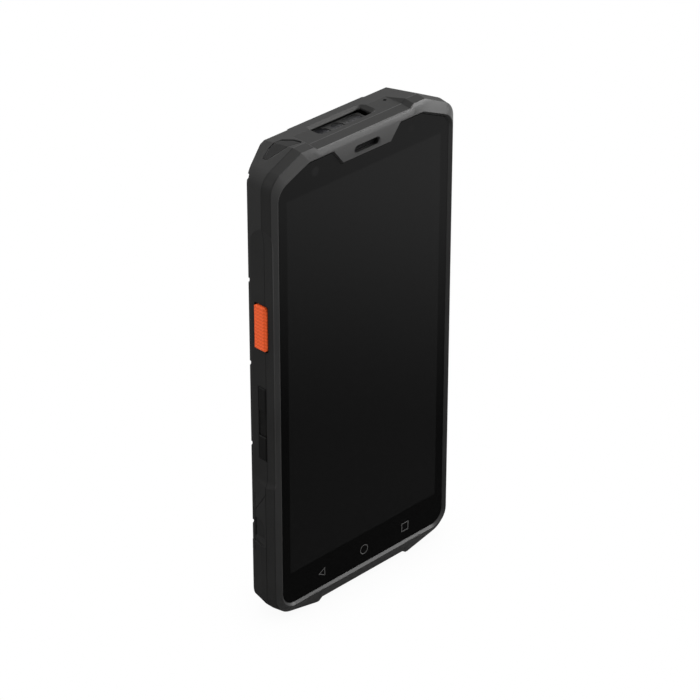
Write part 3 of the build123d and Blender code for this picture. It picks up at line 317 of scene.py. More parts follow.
class Effect:
    """Shader effects that several finishes share, each built once as a node group."""

    @staticmethod
    def start(name: str, inputs: dict[str, float],
              outputs: dict[str, str]) -> tuple[Tree, bpy.types.NodeOutputs, Node]:
        """Make an empty group with its sockets.

        Args:
            name: Name of the group.
            inputs: Input numbers and their defaults.
            outputs: Outputs and their kinds, Float or Vector.

        Returns:
            The group's tree, its given inputs and its output node.
        """
        group = bpy.data.node_groups.new(name, "ShaderNodeTree")
        for key, value in inputs.items():
            socket = group.interface.new_socket(name=key, in_out="INPUT", socket_type="NodeSocketFloat")
            socket.default_value = value
        for key, kind in outputs.items():
            group.interface.new_socket(name=key, in_out="OUTPUT", socket_type="NodeSocket" + kind)
        given = group.nodes.new("NodeGroupInput").outputs
        return Tree(group), given, group.nodes.new("NodeGroupOutput")

    @staticmethod
    @cache
    def moulded_grain() -> Group:
        """Fine spark-eroded grain of a moulding, with a faint cloudiness.

        Returns:
            The node group.
        """
        tree, given, out = Effect.start(
            "moulded_grain", {"Grain": 5000.0, "Clouds": 60.0}, {"Height": "Float", "Cloud": "Float"})
        where = tree.place()[0]
        fine = tree.noise(where, given["Grain"], detail=3.0, rough=0.6)
        cloud = tree.ramp(tree.noise(where, given["Clouds"]), low=0.3, high=0.7)
        tree.feed(out, Height=fine, Cloud=cloud)
        return tree.tree

    @staticmethod
    @cache
    def soft_edge() -> Group:
        """Rounded edges: a softened normal, and a patchy mask of the edges that stands for worn edges and for
        a painted edge highlight.

        Returns:
            The node group.
        """
        tree, given, out = Effect.start(
            "soft_edge", {"Radius": 0.3 * MM, "Wear": 0.5, "Patches": 900.0},
            {"Normal": "Vector", "Mask": "Float"})
        bevel = tree.node("Bevel", samples=16)
        tree.feed(bevel, Radius=given["Radius"])
        along = tree.node("VectorMath", operation="DOT_PRODUCT")
        tree.put(along.inputs[0], bevel.outputs[0])
        tree.put(along.inputs[1], tree.normal())
        edge = tree.ramp(tree.flip(along.outputs["Value"]), low=0.02, high=0.25)
        patches = tree.noise(tree.place()[0], given["Patches"], detail=4.0)
        # mask of the edges where the colour is lightened: worn edges in patches and a painted edge highlight
        wear_and_edge_highlight = tree.product(edge, tree.ramp(patches, low=0.25, high=0.75), given["Wear"])
        tree.feed(out, Normal=bevel.outputs[0], Mask=wear_and_edge_highlight)
        return tree.tree

    @staticmethod
    @cache
    def depth_line() -> Group:
        """Thin line where two mouldings meet at one depth behind the glass's face.

        Returns:
            The node group.
        """
        tree, given, out = Effect.start(
            "depth_line", {"Depth": 3.8 * MM, "Width": 0.1 * MM}, {"Mask": "Float"})
        depth = tree.less(tree.place()[2], GLASS_Y)
        near = tree.share(tree.unsigned(tree.less(depth, given["Depth"])), given["Width"])
        tree.feed(out, Mask=tree.ramp(near, low=0.6, high=1.2, start=1.0, end=0.0))
        return tree.tree

    @staticmethod
    @cache
    def rolled_brow() -> Group:
        """Normal of the brow above the screen, which rolls back towards its upper edge.

        The roll drops a little at the brow's ends, is weak at the left one, and becomes an even tilt
        over the right corner. The mask also takes in the lip of the earpiece slot.

        Returns:
            The node group.
        """
        tree, given, out = Effect.start("rolled_brow", {
            "Low": 145.0 * MM, "Roll": 151.2 * MM, "High": 153.1 * MM, "Half Width": 25.0 * MM,
            "Foot Tilt": 0.07, "Face Tilt": 0.19, "Edge Tilt": 0.56, "Sideways": 0.1,
            "Forward": -0.6, "Downward": -0.05,
            "Drop From": 18.6 * MM, "Drop To": 20.2 * MM, "Drop": 0.8 * MM,
            "Left From": -22.0 * MM, "Left To": -17.0 * MM, "Left Roll": 0.25,
            "Right From": 18.5 * MM, "Right To": 28.0 * MM, "Right High": 148.5 * MM,
            "Right Tilt": 0.29, "Right Roll": 0.3, "Right Reach": 11.0 * MM, "Right Sideways": 0.15,
            "Slot Half Width": 6.2 * MM, "Slot High": 150.5 * MM, "Slot Sideways": 0.65,
        }, {"Normal": "Vector", "Mask": "Float"})
        _, x, _, z = tree.place()
        across = tree.unsigned(x)
        left = tree.ramp(x, given["Left From"], given["Left To"], given["Left Roll"])
        right = tree.product(tree.ramp(x, given["Right From"], given["Right To"]),
                             tree.ramp(z, given["Low"], given["Right High"]))
        drop = tree.ramp(across, given["Drop From"], given["Drop To"], end=given["Drop"])
        level = tree.less(z, drop)
        face = tree.ramp(level, given["Low"], given["Roll"], given["Foot Tilt"], given["Face Tilt"])
        face = tree.add(face, tree.product(right, given["Right Tilt"]))
        roll = tree.product(tree.ramp(level, given["Roll"], given["High"]), left,
                            tree.ramp(right, 0.0, 1.0, 1.0, given["Right Roll"]))
        tilt = tree.add(face, tree.product(roll, tree.less(given["Edge Tilt"], given["Face Tilt"])))
        rolled = tree.node("CombineXYZ")
        tree.feed(rolled, Y=tree.product(tree.math("COSINE", tilt), -1.0), Z=tree.math("SINE", tilt))
        sideways, forward, upward = tree.split(tree.normal())
        on_right = tree.above(x, 0.0)
        in_slot = tree.product(tree.below(across, given["Slot Half Width"]),
                               tree.below(z, given["Slot High"]))
        limit = tree.add(tree.product(in_slot, given["Slot Sideways"]), given["Sideways"])
        limit = tree.add(limit, tree.product(on_right, given["Right Sideways"]))
        reach = tree.add(tree.product(on_right, given["Right Reach"]), given["Half Width"])
        mask = tree.product(tree.below(tree.unsigned(sideways), limit), tree.below(forward, given["Forward"]),
                            tree.above(upward, given["Downward"]), tree.above(z, given["Low"]),
                            tree.below(across, reach))
        tree.feed(out, Normal=tree.to_world(rolled.outputs[0]), Mask=mask)
        return tree.tree

    @staticmethod
    @cache
    def lower_rim() -> Group:
        """Masks of the rounded lip and of the joint line on the upward bevel below the glass; the joint line
        is a dark joint with painted shade that narrows the lit bevel.

        Returns:
            The node group.
        """
        tree, given, out = Effect.start(
            "lower_rim",
            {"High": 25.0 * MM, "Upward": 0.3, "Lip": GLASS_Y - 0.72 * MM, "Joint": GLASS_Y - 0.10 * MM},
            {"Lip": "Float", "Joint": "Float"})
        _, _, y, z = tree.place()
        bevel = tree.product(tree.above(tree.split(tree.normal())[2], given["Upward"]),
                             tree.below(z, given["High"]))
        tree.feed(out, Lip=tree.product(bevel, tree.below(y, given["Lip"])),
                  Joint=tree.product(bevel, tree.above(y, given["Joint"])))
        return tree.tree

    @staticmethod
    @cache
    def window_rim_painted_light() -> Group:
        """Masks of the chamfer and the wall behind the scan window, which both face the front and get painted
        light there.

        Returns:
            The node group.
        """
        tree, given, out = Effect.start("window_rim_painted_light", {
            "Across": -0.7 * MM, "Half Width": 12.3 * MM, "Low": 151.6 * MM,
            "Front": GLASS_Y + 9.5 * MM, "Back": GLASS_Y + 13.6 * MM,
        }, {"Chamfer": "Float", "Wall": "Float"})
        _, x, y, z = tree.place()
        _, forward, upward = tree.split(tree.normal())
        off = tree.unsigned(tree.less(x, given["Across"]))
        near = tree.product(tree.below(off, given["Half Width"]), tree.above(z, given["Low"]),
                            tree.above(y, given["Front"]), tree.below(y, given["Back"]),
                            tree.ramp(forward, low=-0.6, high=-0.3, start=1.0, end=0.0))
        wall = tree.ramp(upward, low=0.15, high=0.35, start=1.0, end=0.0)
        tree.feed(out, Chamfer=tree.product(near, tree.flip(wall)), Wall=tree.product(near, wall))
        return tree.tree

    @staticmethod
    @cache
    def round_spot() -> Group:
        """Soft disc at a place on the screen side.

        Returns:
            The node group.
        """
        tree, given, out = Effect.start(
            "round_spot", {"Across": 0.0, "Height": 0.0, "Radius": 1.0 * MM, "Blur": 0.1 * MM},
            {"Mask": "Float"})
        _, x, _, z = tree.place()
        across = tree.less(x, given["Across"])
        along = tree.less(z, given["Height"])
        radius = tree.math("SQRT", tree.add(tree.product(across, across), tree.product(along, along)))
        tree.feed(out, Mask=tree.share(tree.less(given["Radius"], radius), given["Blur"], clamp=True))
        return tree.tree

    @staticmethod
    @cache
    def woven_mesh() -> Group:
        """Fine woven cloth of wires seen from the front.

        Returns:
            The node group.
        """
        tree, given, out = Effect.start("woven_mesh", {"Pitch": 0.3 * MM}, {"Height": "Float"})
        _, x, _, z = tree.place()
        waves = [tree.math("SINE", tree.product(tree.share(part, given["Pitch"]), math.tau))
                 for part in (x, z)]
        tree.feed(out, Height=tree.ramp(tree.product(*waves), low=-0.4, high=0.6))
        return tree.tree


def new_material(name: str) -> tuple[Material, Tree, Node]:
    """Material with one Principled shader.

    Args:
        name: Name of the material.

    Returns:
        The material, its tree and its Principled node.
    """
    material = bpy.data.materials.new(name)
    material.use_nodes = True
    return material, Tree(material.node_tree), material.node_tree.nodes["Principled BSDF"]


@dataclass(frozen=True)
class Plastic:
    """Moulded plastic or rubber with grain, softened edges lightened as worn edges and as a painted
    highlight, optional joint lines with a painted highlight on faces that look up, and optional painted light
    round the scan window.
    """

    name: str
    colour: Colour
    roughness: float = 0.5
    specular: float = 0.06
    grain: float = 5200.0
    relief: float = 0.01 * MM
    strength: float = 0.5
    cloud_dark: float = 0.86
    cloud_rough: float = 0.04
    # edge colour: worn edges and a painted edge highlight
    edge: Colour = (0.09, 0.09, 0.088)
    edge_radius: float = 0.3 * MM
    upper_radius: Optional[float] = None
    upper_from: float = 137.0 * MM
    upper_to: float = 144.0 * MM
    wear_and_highlight: float = 0.15
    lines: tuple[float, ...] = ()
    line_width: float = 0.09 * MM
    line_dark: float = 0.002
    line_highlight: float = 0.05
    highlight_from: float = 0.92
    highlight_to: float = 0.98
    brow: bool = False
    # whether the rim of the scan window gets painted light
    window: bool = False
    chamfer_painted_light: float = 2.6
    wall_painted_light: float = 7.0

    def build(self) -> Material:
        """Build the material.

        Returns:
            The material.
        """
        material, tree, shader = new_material(self.name)
        grain = tree.group(Effect.moulded_grain(), Grain=self.grain)
        edge = tree.group(Effect.soft_edge(), Radius=self.radius(tree), Wear=self.wear_and_highlight)
        roll = tree.group(Effect.rolled_brow()) if self.brow else None
        colour = tree.blend(grain["Cloud"], scaled(self.colour, self.cloud_dark), self.colour)
        # painted edge highlight, partly worn edges
        colour = tree.blend(edge["Mask"], colour, self.edge)
        if self.lines:
            colour = self.rule(tree, colour, None if roll is None else tree.flip(roll["Mask"]))
        # painted light on the chamfer and the wall behind the scan window
        if self.window:
            rim = tree.group(Effect.window_rim_painted_light())
            colour = tree.blend(rim["Chamfer"], colour, scaled(self.colour, self.chamfer_painted_light))
            colour = tree.blend(rim["Wall"], colour, scaled(self.colour, self.wall_painted_light))
        normal = edge["Normal"]
        if roll is not None:
            rim = tree.group(Effect.lower_rim())
            # dark joint with painted shade at the inner end of the lit bevel below the glass
            colour = tree.blend(rim["Joint"], colour, grey(self.line_dark))
            normal = tree.turn(rim["Lip"], normal, tree.to_world(FORWARD))
            normal = tree.turn(roll["Mask"], normal, roll["Normal"])
        rough = tree.ramp(grain["Cloud"], 0.0, 1.0, self.roughness - self.cloud_rough,
                          self.roughness + self.cloud_rough)
        tree.feed(shader, Base_Color=colour, Roughness=rough, Specular_IOR_Level=self.specular,
                  Normal=tree.bump(grain["Height"], self.relief, self.strength, normal))
        return material

    def radius(self, tree: Tree) -> object:
        """Radius of the edges, which may change towards the top.

        Args:
            tree: The material's tree.

        Returns:
            One radius, or a socket with the radius at every height.
        """
        if self.upper_radius is None:
            return self.edge_radius
        height = tree.place()[3]
        return tree.ramp(height, self.upper_from, self.upper_to, self.edge_radius, self.upper_radius)

    def rule(self, tree: Tree, colour: Socket, clear: Optional[Socket]) -> Socket:
        """Draw the joint lines, with a painted highlight on faces that look up and dark on all others.

        Args:
            tree: The material's tree.
            colour: The colour to draw on.
            clear: Mask of where lines may be, or None for everywhere.

        Returns:
            The colour with its lines.
        """
        upward = tree.split(tree.normal())[2]
        # joint lines are dark, with a painted highlight on faces that look up
        line_colour_with_highlight = tree.blend(tree.ramp(upward, self.highlight_from, self.highlight_to), grey(self.line_dark),
                          grey(self.line_highlight))
        for depth in self.lines:
            line = tree.group(Effect.depth_line(), Depth=depth, Width=self.line_width)["Mask"]
            if clear is not None:
                line = tree.product(line, clear)
            colour = tree.blend(line, colour, line_colour_with_highlight)
        return colour


@dataclass(frozen=True)
class TexturedPlastic:
    """Orange plastic with a fine herringbone of raised dashes, with painted shade between them."""

    name: str
    colour: Colour
    # colour between the dashes: painted shade
    dark: Colour
    pitch: float = 0.55 * MM
    relief: float = 0.06 * MM
    strength: float = 0.6
    grain: float = 7000.0
    grain_share: float = 0.15
    edge_radius: float = 0.2 * MM
    edge_light: float = 1.6
    wear_and_highlight: float = 0.25
    roughness: float = 0.42
    specular: float = 0.08

    def build(self) -> Material:
        """Build the material.

        Returns:
            The material.
        """
        material, tree, shader = new_material(self.name)
        _, _, y, z = tree.place()
        grain = tree.group(Effect.moulded_grain(), Grain=self.grain)
        edge = tree.group(Effect.soft_edge(), Radius=self.edge_radius, Wear=self.wear_and_highlight)
        column = tree.math("PINGPONG", tree.share(y, self.pitch), 1.0)
        slope = tree.product(tree.add(tree.share(z, self.pitch), column), math.pi)
        dash = tree.ramp(tree.math("SINE", slope), low=-0.2, high=0.7)
        between = tree.ramp(tree.math("PINGPONG", column, 0.5), low=0.04, high=0.2)
        height = tree.product(dash, between)
        # darker between the raised dashes: painted shade in the grooves
        colour = tree.blend(tree.ramp(height, low=0.0, high=0.8), self.dark, self.colour)
        # edges lightened: painted edge highlight and worn edges
        colour = tree.blend(edge["Mask"], colour, scaled(self.colour, self.edge_light))
        relief = tree.add(height, tree.product(grain["Height"], self.grain_share))
        tree.feed(shader, Base_Color=colour, Roughness=self.roughness, Specular_IOR_Level=self.specular,
                  Normal=tree.bump(relief, self.relief, self.strength, edge["Normal"]))
        return material


@dataclass(frozen=True)
class Spot:
    """Faint disc of a part behind the cover glass."""

    place: Point
    radius: float
    blur: float
    share: float
    colour: Colour


@dataclass(frozen=True)
class ScreenGlass:
    """Cover glass, printed black round a dark display, with faint discs of the parts behind it."""

    name: str
    border: float = 0.0008
    display: float = 0.0033
    half_width: float = 31.235 * MM
    low: float = 16.225 * MM
    high: float = 141.175 * MM
    soft: float = 0.15 * MM
    smears: float = 35.0
    specular: float = 0.1
    camera: Spot = Spot((-20.0 * MM, 146.9 * MM), 1.7 * MM, 0.6 * MM, 0.6, (0.0066, 0.0066, 0.0068))
    sensor: Spot = Spot((18.6 * MM, 146.9 * MM), 1.3 * MM, 0.5 * MM, 0.3, (0.0050, 0.0042, 0.0042))

    def build(self) -> Material:
        """Build the material.

        Returns:
            The material.
        """
        material, tree, shader = new_material(self.name)
        where, x, _, z = tree.place()
        lit = tree.product(tree.within(x, -self.half_width, self.half_width, self.soft),
                           tree.within(z, self.low, self.high, self.soft))
        colour = tree.blend(lit, grey(self.border), grey(self.display))
        for spot in (self.camera, self.sensor):
            across, height = spot.place
            disc = tree.group(Effect.round_spot(), Across=across, Height=height, Radius=spot.radius,
                              Blur=spot.blur)
            colour = tree.blend(tree.product(disc["Mask"], spot.share), colour, spot.colour)
        smear = tree.noise(where, self.smears, detail=4.0, rough=0.6)
        tree.feed(shader, Base_Color=colour, Specular_IOR_Level=self.specular,
                  Roughness=tree.ramp(smear, low=0.3, high=0.8, start=0.05, end=0.11))
        return material


@dataclass(frozen=True)
class ClearGlass:
    """Thin clear cover that lets the parts behind it show.

    The scan window's tint and gloss are next to nothing, because stray paths off them make it grainy.
    """

    name: str
    tint: Colour = (0.001, 0.001, 0.001)
    alpha: float = 0.02
    roughness: float = 0.05
    specular: float = 0.004
    smears: float = 250.0
    smear_light: float = 1.2
    smear_rough: float = 0.05

    def build(self) -> Material:
        """Build the material.

        Returns:
            The material.
        """
        material, tree, shader = new_material(self.name)
        smear = tree.noise(tree.place()[0], self.smears, detail=3.0)
        rough = tree.ramp(smear, 0.2, 0.8, self.roughness, self.roughness + self.smear_rough)
        tree.feed(shader, Base_Color=tree.blend(smear, self.tint, scaled(self.tint, self.smear_light)),
                  Roughness=rough, Alpha=self.alpha, Specular_IOR_Level=self.specular)
        return material


@dataclass(frozen=True)
class Lens:
    """Faces of the two lenses and the lamp of the scan engine, lighter from left to right."""

    name: str
    camera: float = 0.007
    aimer: float = 0.013
    lamp: float = 0.020
    aimer_from: Point = (-4.5 * MM, -3.5 * MM)
    lamp_from: Point = (1.1 * MM, 1.5 * MM)
    sheen: Colour = (0.010, 0.010, 0.016)
    sheen_scale: float = 150.0
    sheen_share: float = 0.25
    roughness: float = 0.25
    sheen_rough: float = 0.1
    specular: float = 0.1

    def build(self) -> Material:
        """Build the material.

        Returns:
            The material.
        """
        material, tree, shader = new_material(self.name)
        where, x, _, _ = tree.place()
        colour = tree.blend(tree.ramp(x, *self.aimer_from), grey(self.camera), grey(self.aimer))
        colour = tree.blend(tree.ramp(x, *self.lamp_from), colour, grey(self.lamp))
        sheen = tree.noise(where, self.sheen_scale, detail=1.0)
        colour = tree.blend(tree.ramp(sheen, 0.35, 0.65, end=self.sheen_share), colour, self.sheen)
        rough = tree.ramp(sheen, 0.3, 0.7, self.roughness, self.roughness + self.sheen_rough)
        tree.feed(shader, Base_Color=colour, Roughness=rough, Specular_IOR_Level=self.specular)
        return material


@dataclass(frozen=True)
class Metal:
    """Bare, plated or blackened metal with fine streaks."""

    name: str
    colour: Colour
    roughness: float = 0.35
    streak: float = 1800.0
    streak_stretch: Place = (1.0, 1.0, 0.08)
    streak_dark: float = 0.75
    streak_rough: float = 0.12
    edge_radius: float = 0.15 * MM
    edge_light: float = 1.4
    wear_and_highlight: float = 0.4

    def build(self) -> Material:
        """Build the material.

        Returns:
            The material.
        """
        material, tree, shader = new_material(self.name)
        stretch = tree.node("Mapping")
        tree.feed(stretch, Vector=tree.place()[0], Scale=self.streak_stretch)
        streaks = tree.noise(stretch.outputs[0], self.streak, detail=3.0)
        edge = tree.group(Effect.soft_edge(), Radius=self.edge_radius, Wear=self.wear_and_highlight)
        colour = tree.blend(tree.ramp(streaks, low=0.3, high=0.7), scaled(self.colour, self.streak_dark),
                            self.colour)
        # edges lightened: painted edge highlight and worn edges
        colour = tree.blend(edge["Mask"], colour, scaled(self.colour, self.edge_light))
        rough = tree.ramp(streaks, 0.2, 0.8, self.roughness, self.roughness + self.streak_rough)
        tree.feed(shader, Base_Color=colour, Roughness=rough, Normal=edge["Normal"], Metallic=1.0)
        return material


@dataclass(frozen=True)
class Woven:
    """Blackened wire cloth behind a grille."""

    name: str
    wire: Colour = (0.010, 0.010, 0.0105)
    gap: Colour = (0.0015, 0.0015, 0.0015)
    pitch: float = 0.28 * MM
    relief: float = 0.05 * MM
    strength: float = 0.8
    roughness: float = 0.5
    metallic: float = 0.3
    specular: float = 0.04

    def build(self) -> Material:
        """Build the material.

        Returns:
            The material.
        """
        material, tree, shader = new_material(self.name)
        weave = tree.group(Effect.woven_mesh(), Pitch=self.pitch)["Height"]
        tree.feed(shader, Base_Color=tree.blend(weave, self.gap, self.wire), Roughness=self.roughness,
                  Metallic=self.metallic, Specular_IOR_Level=self.specular,
                  Normal=tree.bump(weave, self.relief, self.strength))
        return material


@dataclass(frozen=True)
class Board:
    """Circuit board lacquer with faint tracks."""

    name: str
    colour: Colour = (0.01, 0.06, 0.03)
    track: Colour = (0.02, 0.11, 0.05)
    scale: float = 600.0
    roughness: float = 0.35

    def build(self) -> Material:
        """Build the material.

        Returns:
            The material.
        """
        material, tree, shader = new_material(self.name)
        tracks = tree.node("TexBrick")
        tree.feed(tracks, Vector=tree.place()[0], Color1=self.colour, Color2=self.colour,
                  Mortar=self.track, Scale=self.scale)
        tree.feed(shader, Base_Color=tracks.outputs["Color"], Roughness=self.roughness)
        return material


class Finish(Enum):
    """Every finish on the terminal."""

    BEZEL = Plastic("bezel_plastic", (0.0210, 0.0208, 0.0205), roughness=0.38, specular=0.25,
                    edge=(0.045, 0.045, 0.044), edge_radius=0.08 * MM, upper_radius=0.22 * MM,
                    wear_and_highlight=0.04, lines=(0.5 * MM,), brow=True)
    FRAME = Plastic("frame_plastic", (0.0157, 0.0156, 0.0154), specular=0.04, lines=(3.8 * MM,))
    HOUSING = Plastic("housing_plastic", (0.0157, 0.0156, 0.0154), specular=0.04, lines=(3.8 * MM,),
                      window=True)
    COVER = Plastic("cover_plastic", (0.0152, 0.0151, 0.0149), roughness=0.55, specular=0.04)
    KEY = Plastic("key_rubber", (0.0068, 0.0068, 0.0066), roughness=0.45, specular=0.04,
                  grain=8000.0, edge_radius=0.2 * MM)
    SOFT_COVER = Plastic("cover_rubber", (0.0090, 0.0089, 0.0088), roughness=0.6, specular=0.04,
                         grain=7000.0)
    SEAL = Plastic("seal_rubber", grey(0.006), roughness=0.7)
    BLACK = Plastic("black_plastic", grey(0.008), roughness=0.45)
    ENGINE = Plastic("engine_plastic", grey(0.006), roughness=0.6, grain=9000.0)
    FACE = Plastic("engine_face", (0.024, 0.024, 0.0237), roughness=0.45, specular=0.04, grain=9000.0,
                   relief=0.001 * MM, edge_radius=0.02 * MM, wear_and_highlight=0.0)
    WRAP = Plastic("battery_wrap", (0.03, 0.03, 0.031), roughness=0.35, specular=0.4)
    PALE = Plastic("flash_plastic", (0.75, 0.68, 0.42), roughness=0.3, specular=0.5,
                   edge=(0.8, 0.78, 0.6))
    DISPLAY = Plastic("display_black", (0.006, 0.006, 0.007), roughness=0.25)
    PRINT = Plastic("printed_mark", (0.105, 0.105, 0.103), roughness=0.4)
    ORANGE = TexturedPlastic("orange_plastic", (0.77, 0.106, 0.023), (0.57, 0.073, 0.016))
    GLASS = ScreenGlass("screen_glass")
    CLEAR = ClearGlass("scan_glass")
    CAMERA_GLASS = ClearGlass("camera_glass", (0.02, 0.02, 0.025), alpha=0.55, specular=0.3)
    LENS = Lens("coated_lens")
    STEEL = Metal("tinned_steel", (0.55, 0.55, 0.54))
    DARK_STEEL = Metal("black_screw", (0.08, 0.08, 0.085), roughness=0.4)
    TRIM = Metal("camera_trim", (0.12, 0.12, 0.13), roughness=0.3)
    GOLD = Metal("gold_contact", (0.83, 0.6, 0.25), roughness=0.3)
    MESH = Woven("wire_mesh")
    BOARD = Board("circuit_board")


class Paint:
    """Gives finishes to objects."""

    @staticmethod
    @cache
    def material(finish: Finish) -> Material:
        """Material of a finish, built once."""
        return finish.value.build()

    @staticmethod
    def dress(thing: Thing, finish: Finish) -> None:
        """Give an object one finish all over."""
        thing.data.materials.clear()
        thing.data.materials.append(Paint.material(finish))

    @staticmethod
    def nodes(finish: Finish, *names: str) -> None:
        """Give CAD nodes a finish.

        Args:
            finish: The finish.
            names: Names of the nodes.
        """
        for name in names:
            Paint.dress(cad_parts[name], finish)
            log.info("node %s has finish %s", name, finish.value.name)


class Maker:
    """Turns outlines into pieces."""

    @staticmethod
    def ring(name: str, outer: Sequence[Point], inner: Sequence[Point], front: float,
             thickness: float) -> Thing:
        """Thin flat ring facing the screen side.

        Args:
            name: Name of the piece.
            outer: Outer outline as X and Z, in metres.
            inner: Inner outline with as many points.
            front: Y of its front face.
            thickness: How far it runs back.

        Returns:
            The new object.
        """
        mesh = bmesh.new()
        loops = [[[mesh.verts.new((x, y, z)) for x, z in outline] for outline in (outer, inner)]
                 for y in (front, front + thickness)]
        count = len(outer)
        for index in range(count):
            after = (index + 1) % count
            for side in loops:
                mesh.faces.new((side[0][index], side[0][after], side[1][after], side[1][index]))
            for ahead, behind in zip(*loops):
                mesh.faces.new((ahead[index], behind[index], behind[after], ahead[after]))
        bmesh.ops.recalc_face_normals(mesh, faces=mesh.faces)
        return Maker.finish(name, mesh)

    @staticmethod
    def rounded(middle: Point, half: Point, radius: float, steps: int = 8) -> list[Point]:
        """Outline of a rounded rectangle, or of a circle where the radius is half its size.

        Args:
            middle: Its middle.
            half: Half its width and half its height.
            radius: Its corner radius.
            steps: Pieces of each corner.

        Returns:
            The outline's points, counter-clockwise.
        """
        points = []
        for quarter, (across, along) in enumerate(((1, 1), (-1, 1), (-1, -1), (1, -1))):
            centre = (middle[0] + across * (half[0] - radius), middle[1] + along * (half[1] - radius))
            for step in range(steps + 1):
                angle = math.pi / 2 * (quarter + step / steps)
                points.append((centre[0] + radius * math.cos(angle),
                               centre[1] + radius * math.sin(angle)))
        return points

    @staticmethod
    def slab(name: str, rings: Sequence[Sequence[Point]], low: float, high: float,
             edge: float) -> Thing:
        """Level slab with holes, filled from flat outlines.

        Args:
            name: Name of the piece.
            rings: The outline and then the holes, as X and Y in metres.
            low: Z of its underside.
            high: Z of its upper face.
            edge: How far its edges are rounded.

        Returns:
            The new object.
        """
        curve = bpy.data.curves.new(name + "_outline", "CURVE")
        curve.dimensions = "2D"
        curve.fill_mode = "BOTH"
        curve.extrude = (high - low) / 2 - edge
        curve.bevel_depth = edge
        curve.bevel_resolution = 2
        curve.offset = -edge
        for ring in rings:
            spline = curve.splines.new("POLY")
            spline.points.add(len(ring) - 1)
            for point, place in zip(spline.points, ring):
                point.co = (*place, 0.0, 1.0)
            spline.use_cyclic_u = True
        holder = bpy.data.objects.new(name + "_outline", curve)
        data = bpy.data.meshes.new_from_object(holder)
        bpy.data.objects.remove(holder)
        bpy.data.curves.remove(curve)
        data.transform(Matrix.Translation((0.0, 0.0, (low + high) / 2)))
        mesh = bmesh.new()
        mesh.from_mesh(data)
        bpy.data.meshes.remove(data)
        bmesh.ops.remove_doubles(mesh, verts=mesh.verts, dist=0.001 * MM)
        return Maker.finish(name, mesh)

    @staticmethod
    def finish(name: str, mesh: bmesh.types.BMesh) -> Thing:
        """Turn a bmesh into a linked object.

        Args:
            name: Name of the piece.
            mesh: Its mesh, which is freed.

        Returns:
            The new object.
        """
        data = bpy.data.meshes.new(name)
        mesh.to_mesh(data)
        mesh.free()
        thing = bpy.data.objects.new(name, data)
        bpy.context.scene.collection.objects.link(thing)
        return thing

    @staticmethod
    def add(thing: Thing, finish: Finish, body: Body, slot: str) -> None:
        """Dress a piece and let it ride.

        Args:
            thing: The piece.
            finish: Its finish.
            body: The body it rides on.
            slot: The record's material slot, not used.
        """
        Paint.dress(thing, finish)
        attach(thing, body.value)
        log.info("piece %s rides on %s", thing.name, body.value)


@dataclass
class TouchKeys:
    """Three printed touch keys below the display."""

    height: float = 10.2 * MM
    pitch: float = 18.0 * MM
    size: float = 3.0 * MM
    triangle_back: float = 0.8
    circle: float = 3.3 * MM
    line: float = 0.23 * MM
    lift: float = 0.012 * MM
    steps: int = 40

    def outline(self, points: Sequence[Point], name: str) -> None:
        """Print one closed line inside an outline of counter-clockwise points."""
        thing = Maker.ring(name, points, self.inset(points), GLASS_Y - self.lift, 2 * self.lift)
        Maker.add(thing, Finish.PRINT, Body.TERMINAL, "cover_glass")

    def inset(self, points: Sequence[Point]) -> list[Point]:
        """Move an outline inwards by the line's width.

        Args:
            points: The outline, counter-clockwise.

        Returns:
            The inner outline, with as many points.
        """
        count = len(points)
        moved = []
        for index in range(count):
            here = Vector(points[index])
            before = (here - Vector(points[index - 1])).normalized()
            after = (Vector(points[(index + 1) % count]) - here).normalized()
            both = Vector((-before.y, before.x)) + Vector((-after.y, after.x))
            moved.append(tuple(here + both * (self.line * 2 / both.length_squared)))
        return moved

    def build(self) -> None:
        """Print the back triangle, the home circle and the recents square."""
        half = self.size / 2
        low, high = self.height - half, self.height + half
        left, right = -self.pitch, self.pitch
        base = left + half * self.triangle_back
        self.outline([(left - half, self.height), (base, low), (base, high)], "back_key_mark")
        radius = self.circle / 2
        turns = [math.tau * step / self.steps for step in range(self.steps)]
        self.outline([(radius * math.cos(a), self.height + radius * math.sin(a)) for a in turns],
                     "home_key_mark")
        self.outline([(right - half, low), (right + half, low), (right + half, high), (right - half, high)],
                     "recents_key_mark")


@dataclass
class ScreenSide:
    """Cover glass, display and what shows through the bezel."""

    keys: TouchKeys

    def build(self) -> None:
        """Dress the screen side and print its touch keys."""
        Paint.nodes(Finish.GLASS, "cover_glass")
        Paint.nodes(Finish.DISPLAY, "display_panel")
        Paint.nodes(Finish.MESH, "earpiece_mesh")
        Paint.nodes(Finish.BLACK, "earpiece_receiver", "front_camera", "light_sensor")
        self.keys.build()


class Casings:
    """Bezel, frame, rear housing, battery cover and seals."""

    def build(self) -> None:
        """Dress the casings."""
        Paint.nodes(Finish.BEZEL, "front_bezel")
        Paint.nodes(Finish.FRAME, "mid_frame")
        Paint.nodes(Finish.HOUSING, "rear_housing")
        Paint.nodes(Finish.COVER, "battery_cover")
        Paint.nodes(Finish.SEAL, "perimeter_seal", "stem_seals")
        Paint.nodes(Finish.SOFT_COVER, "jack_cover")
        Paint.nodes(Finish.DARK_STEEL, "housing_screws")


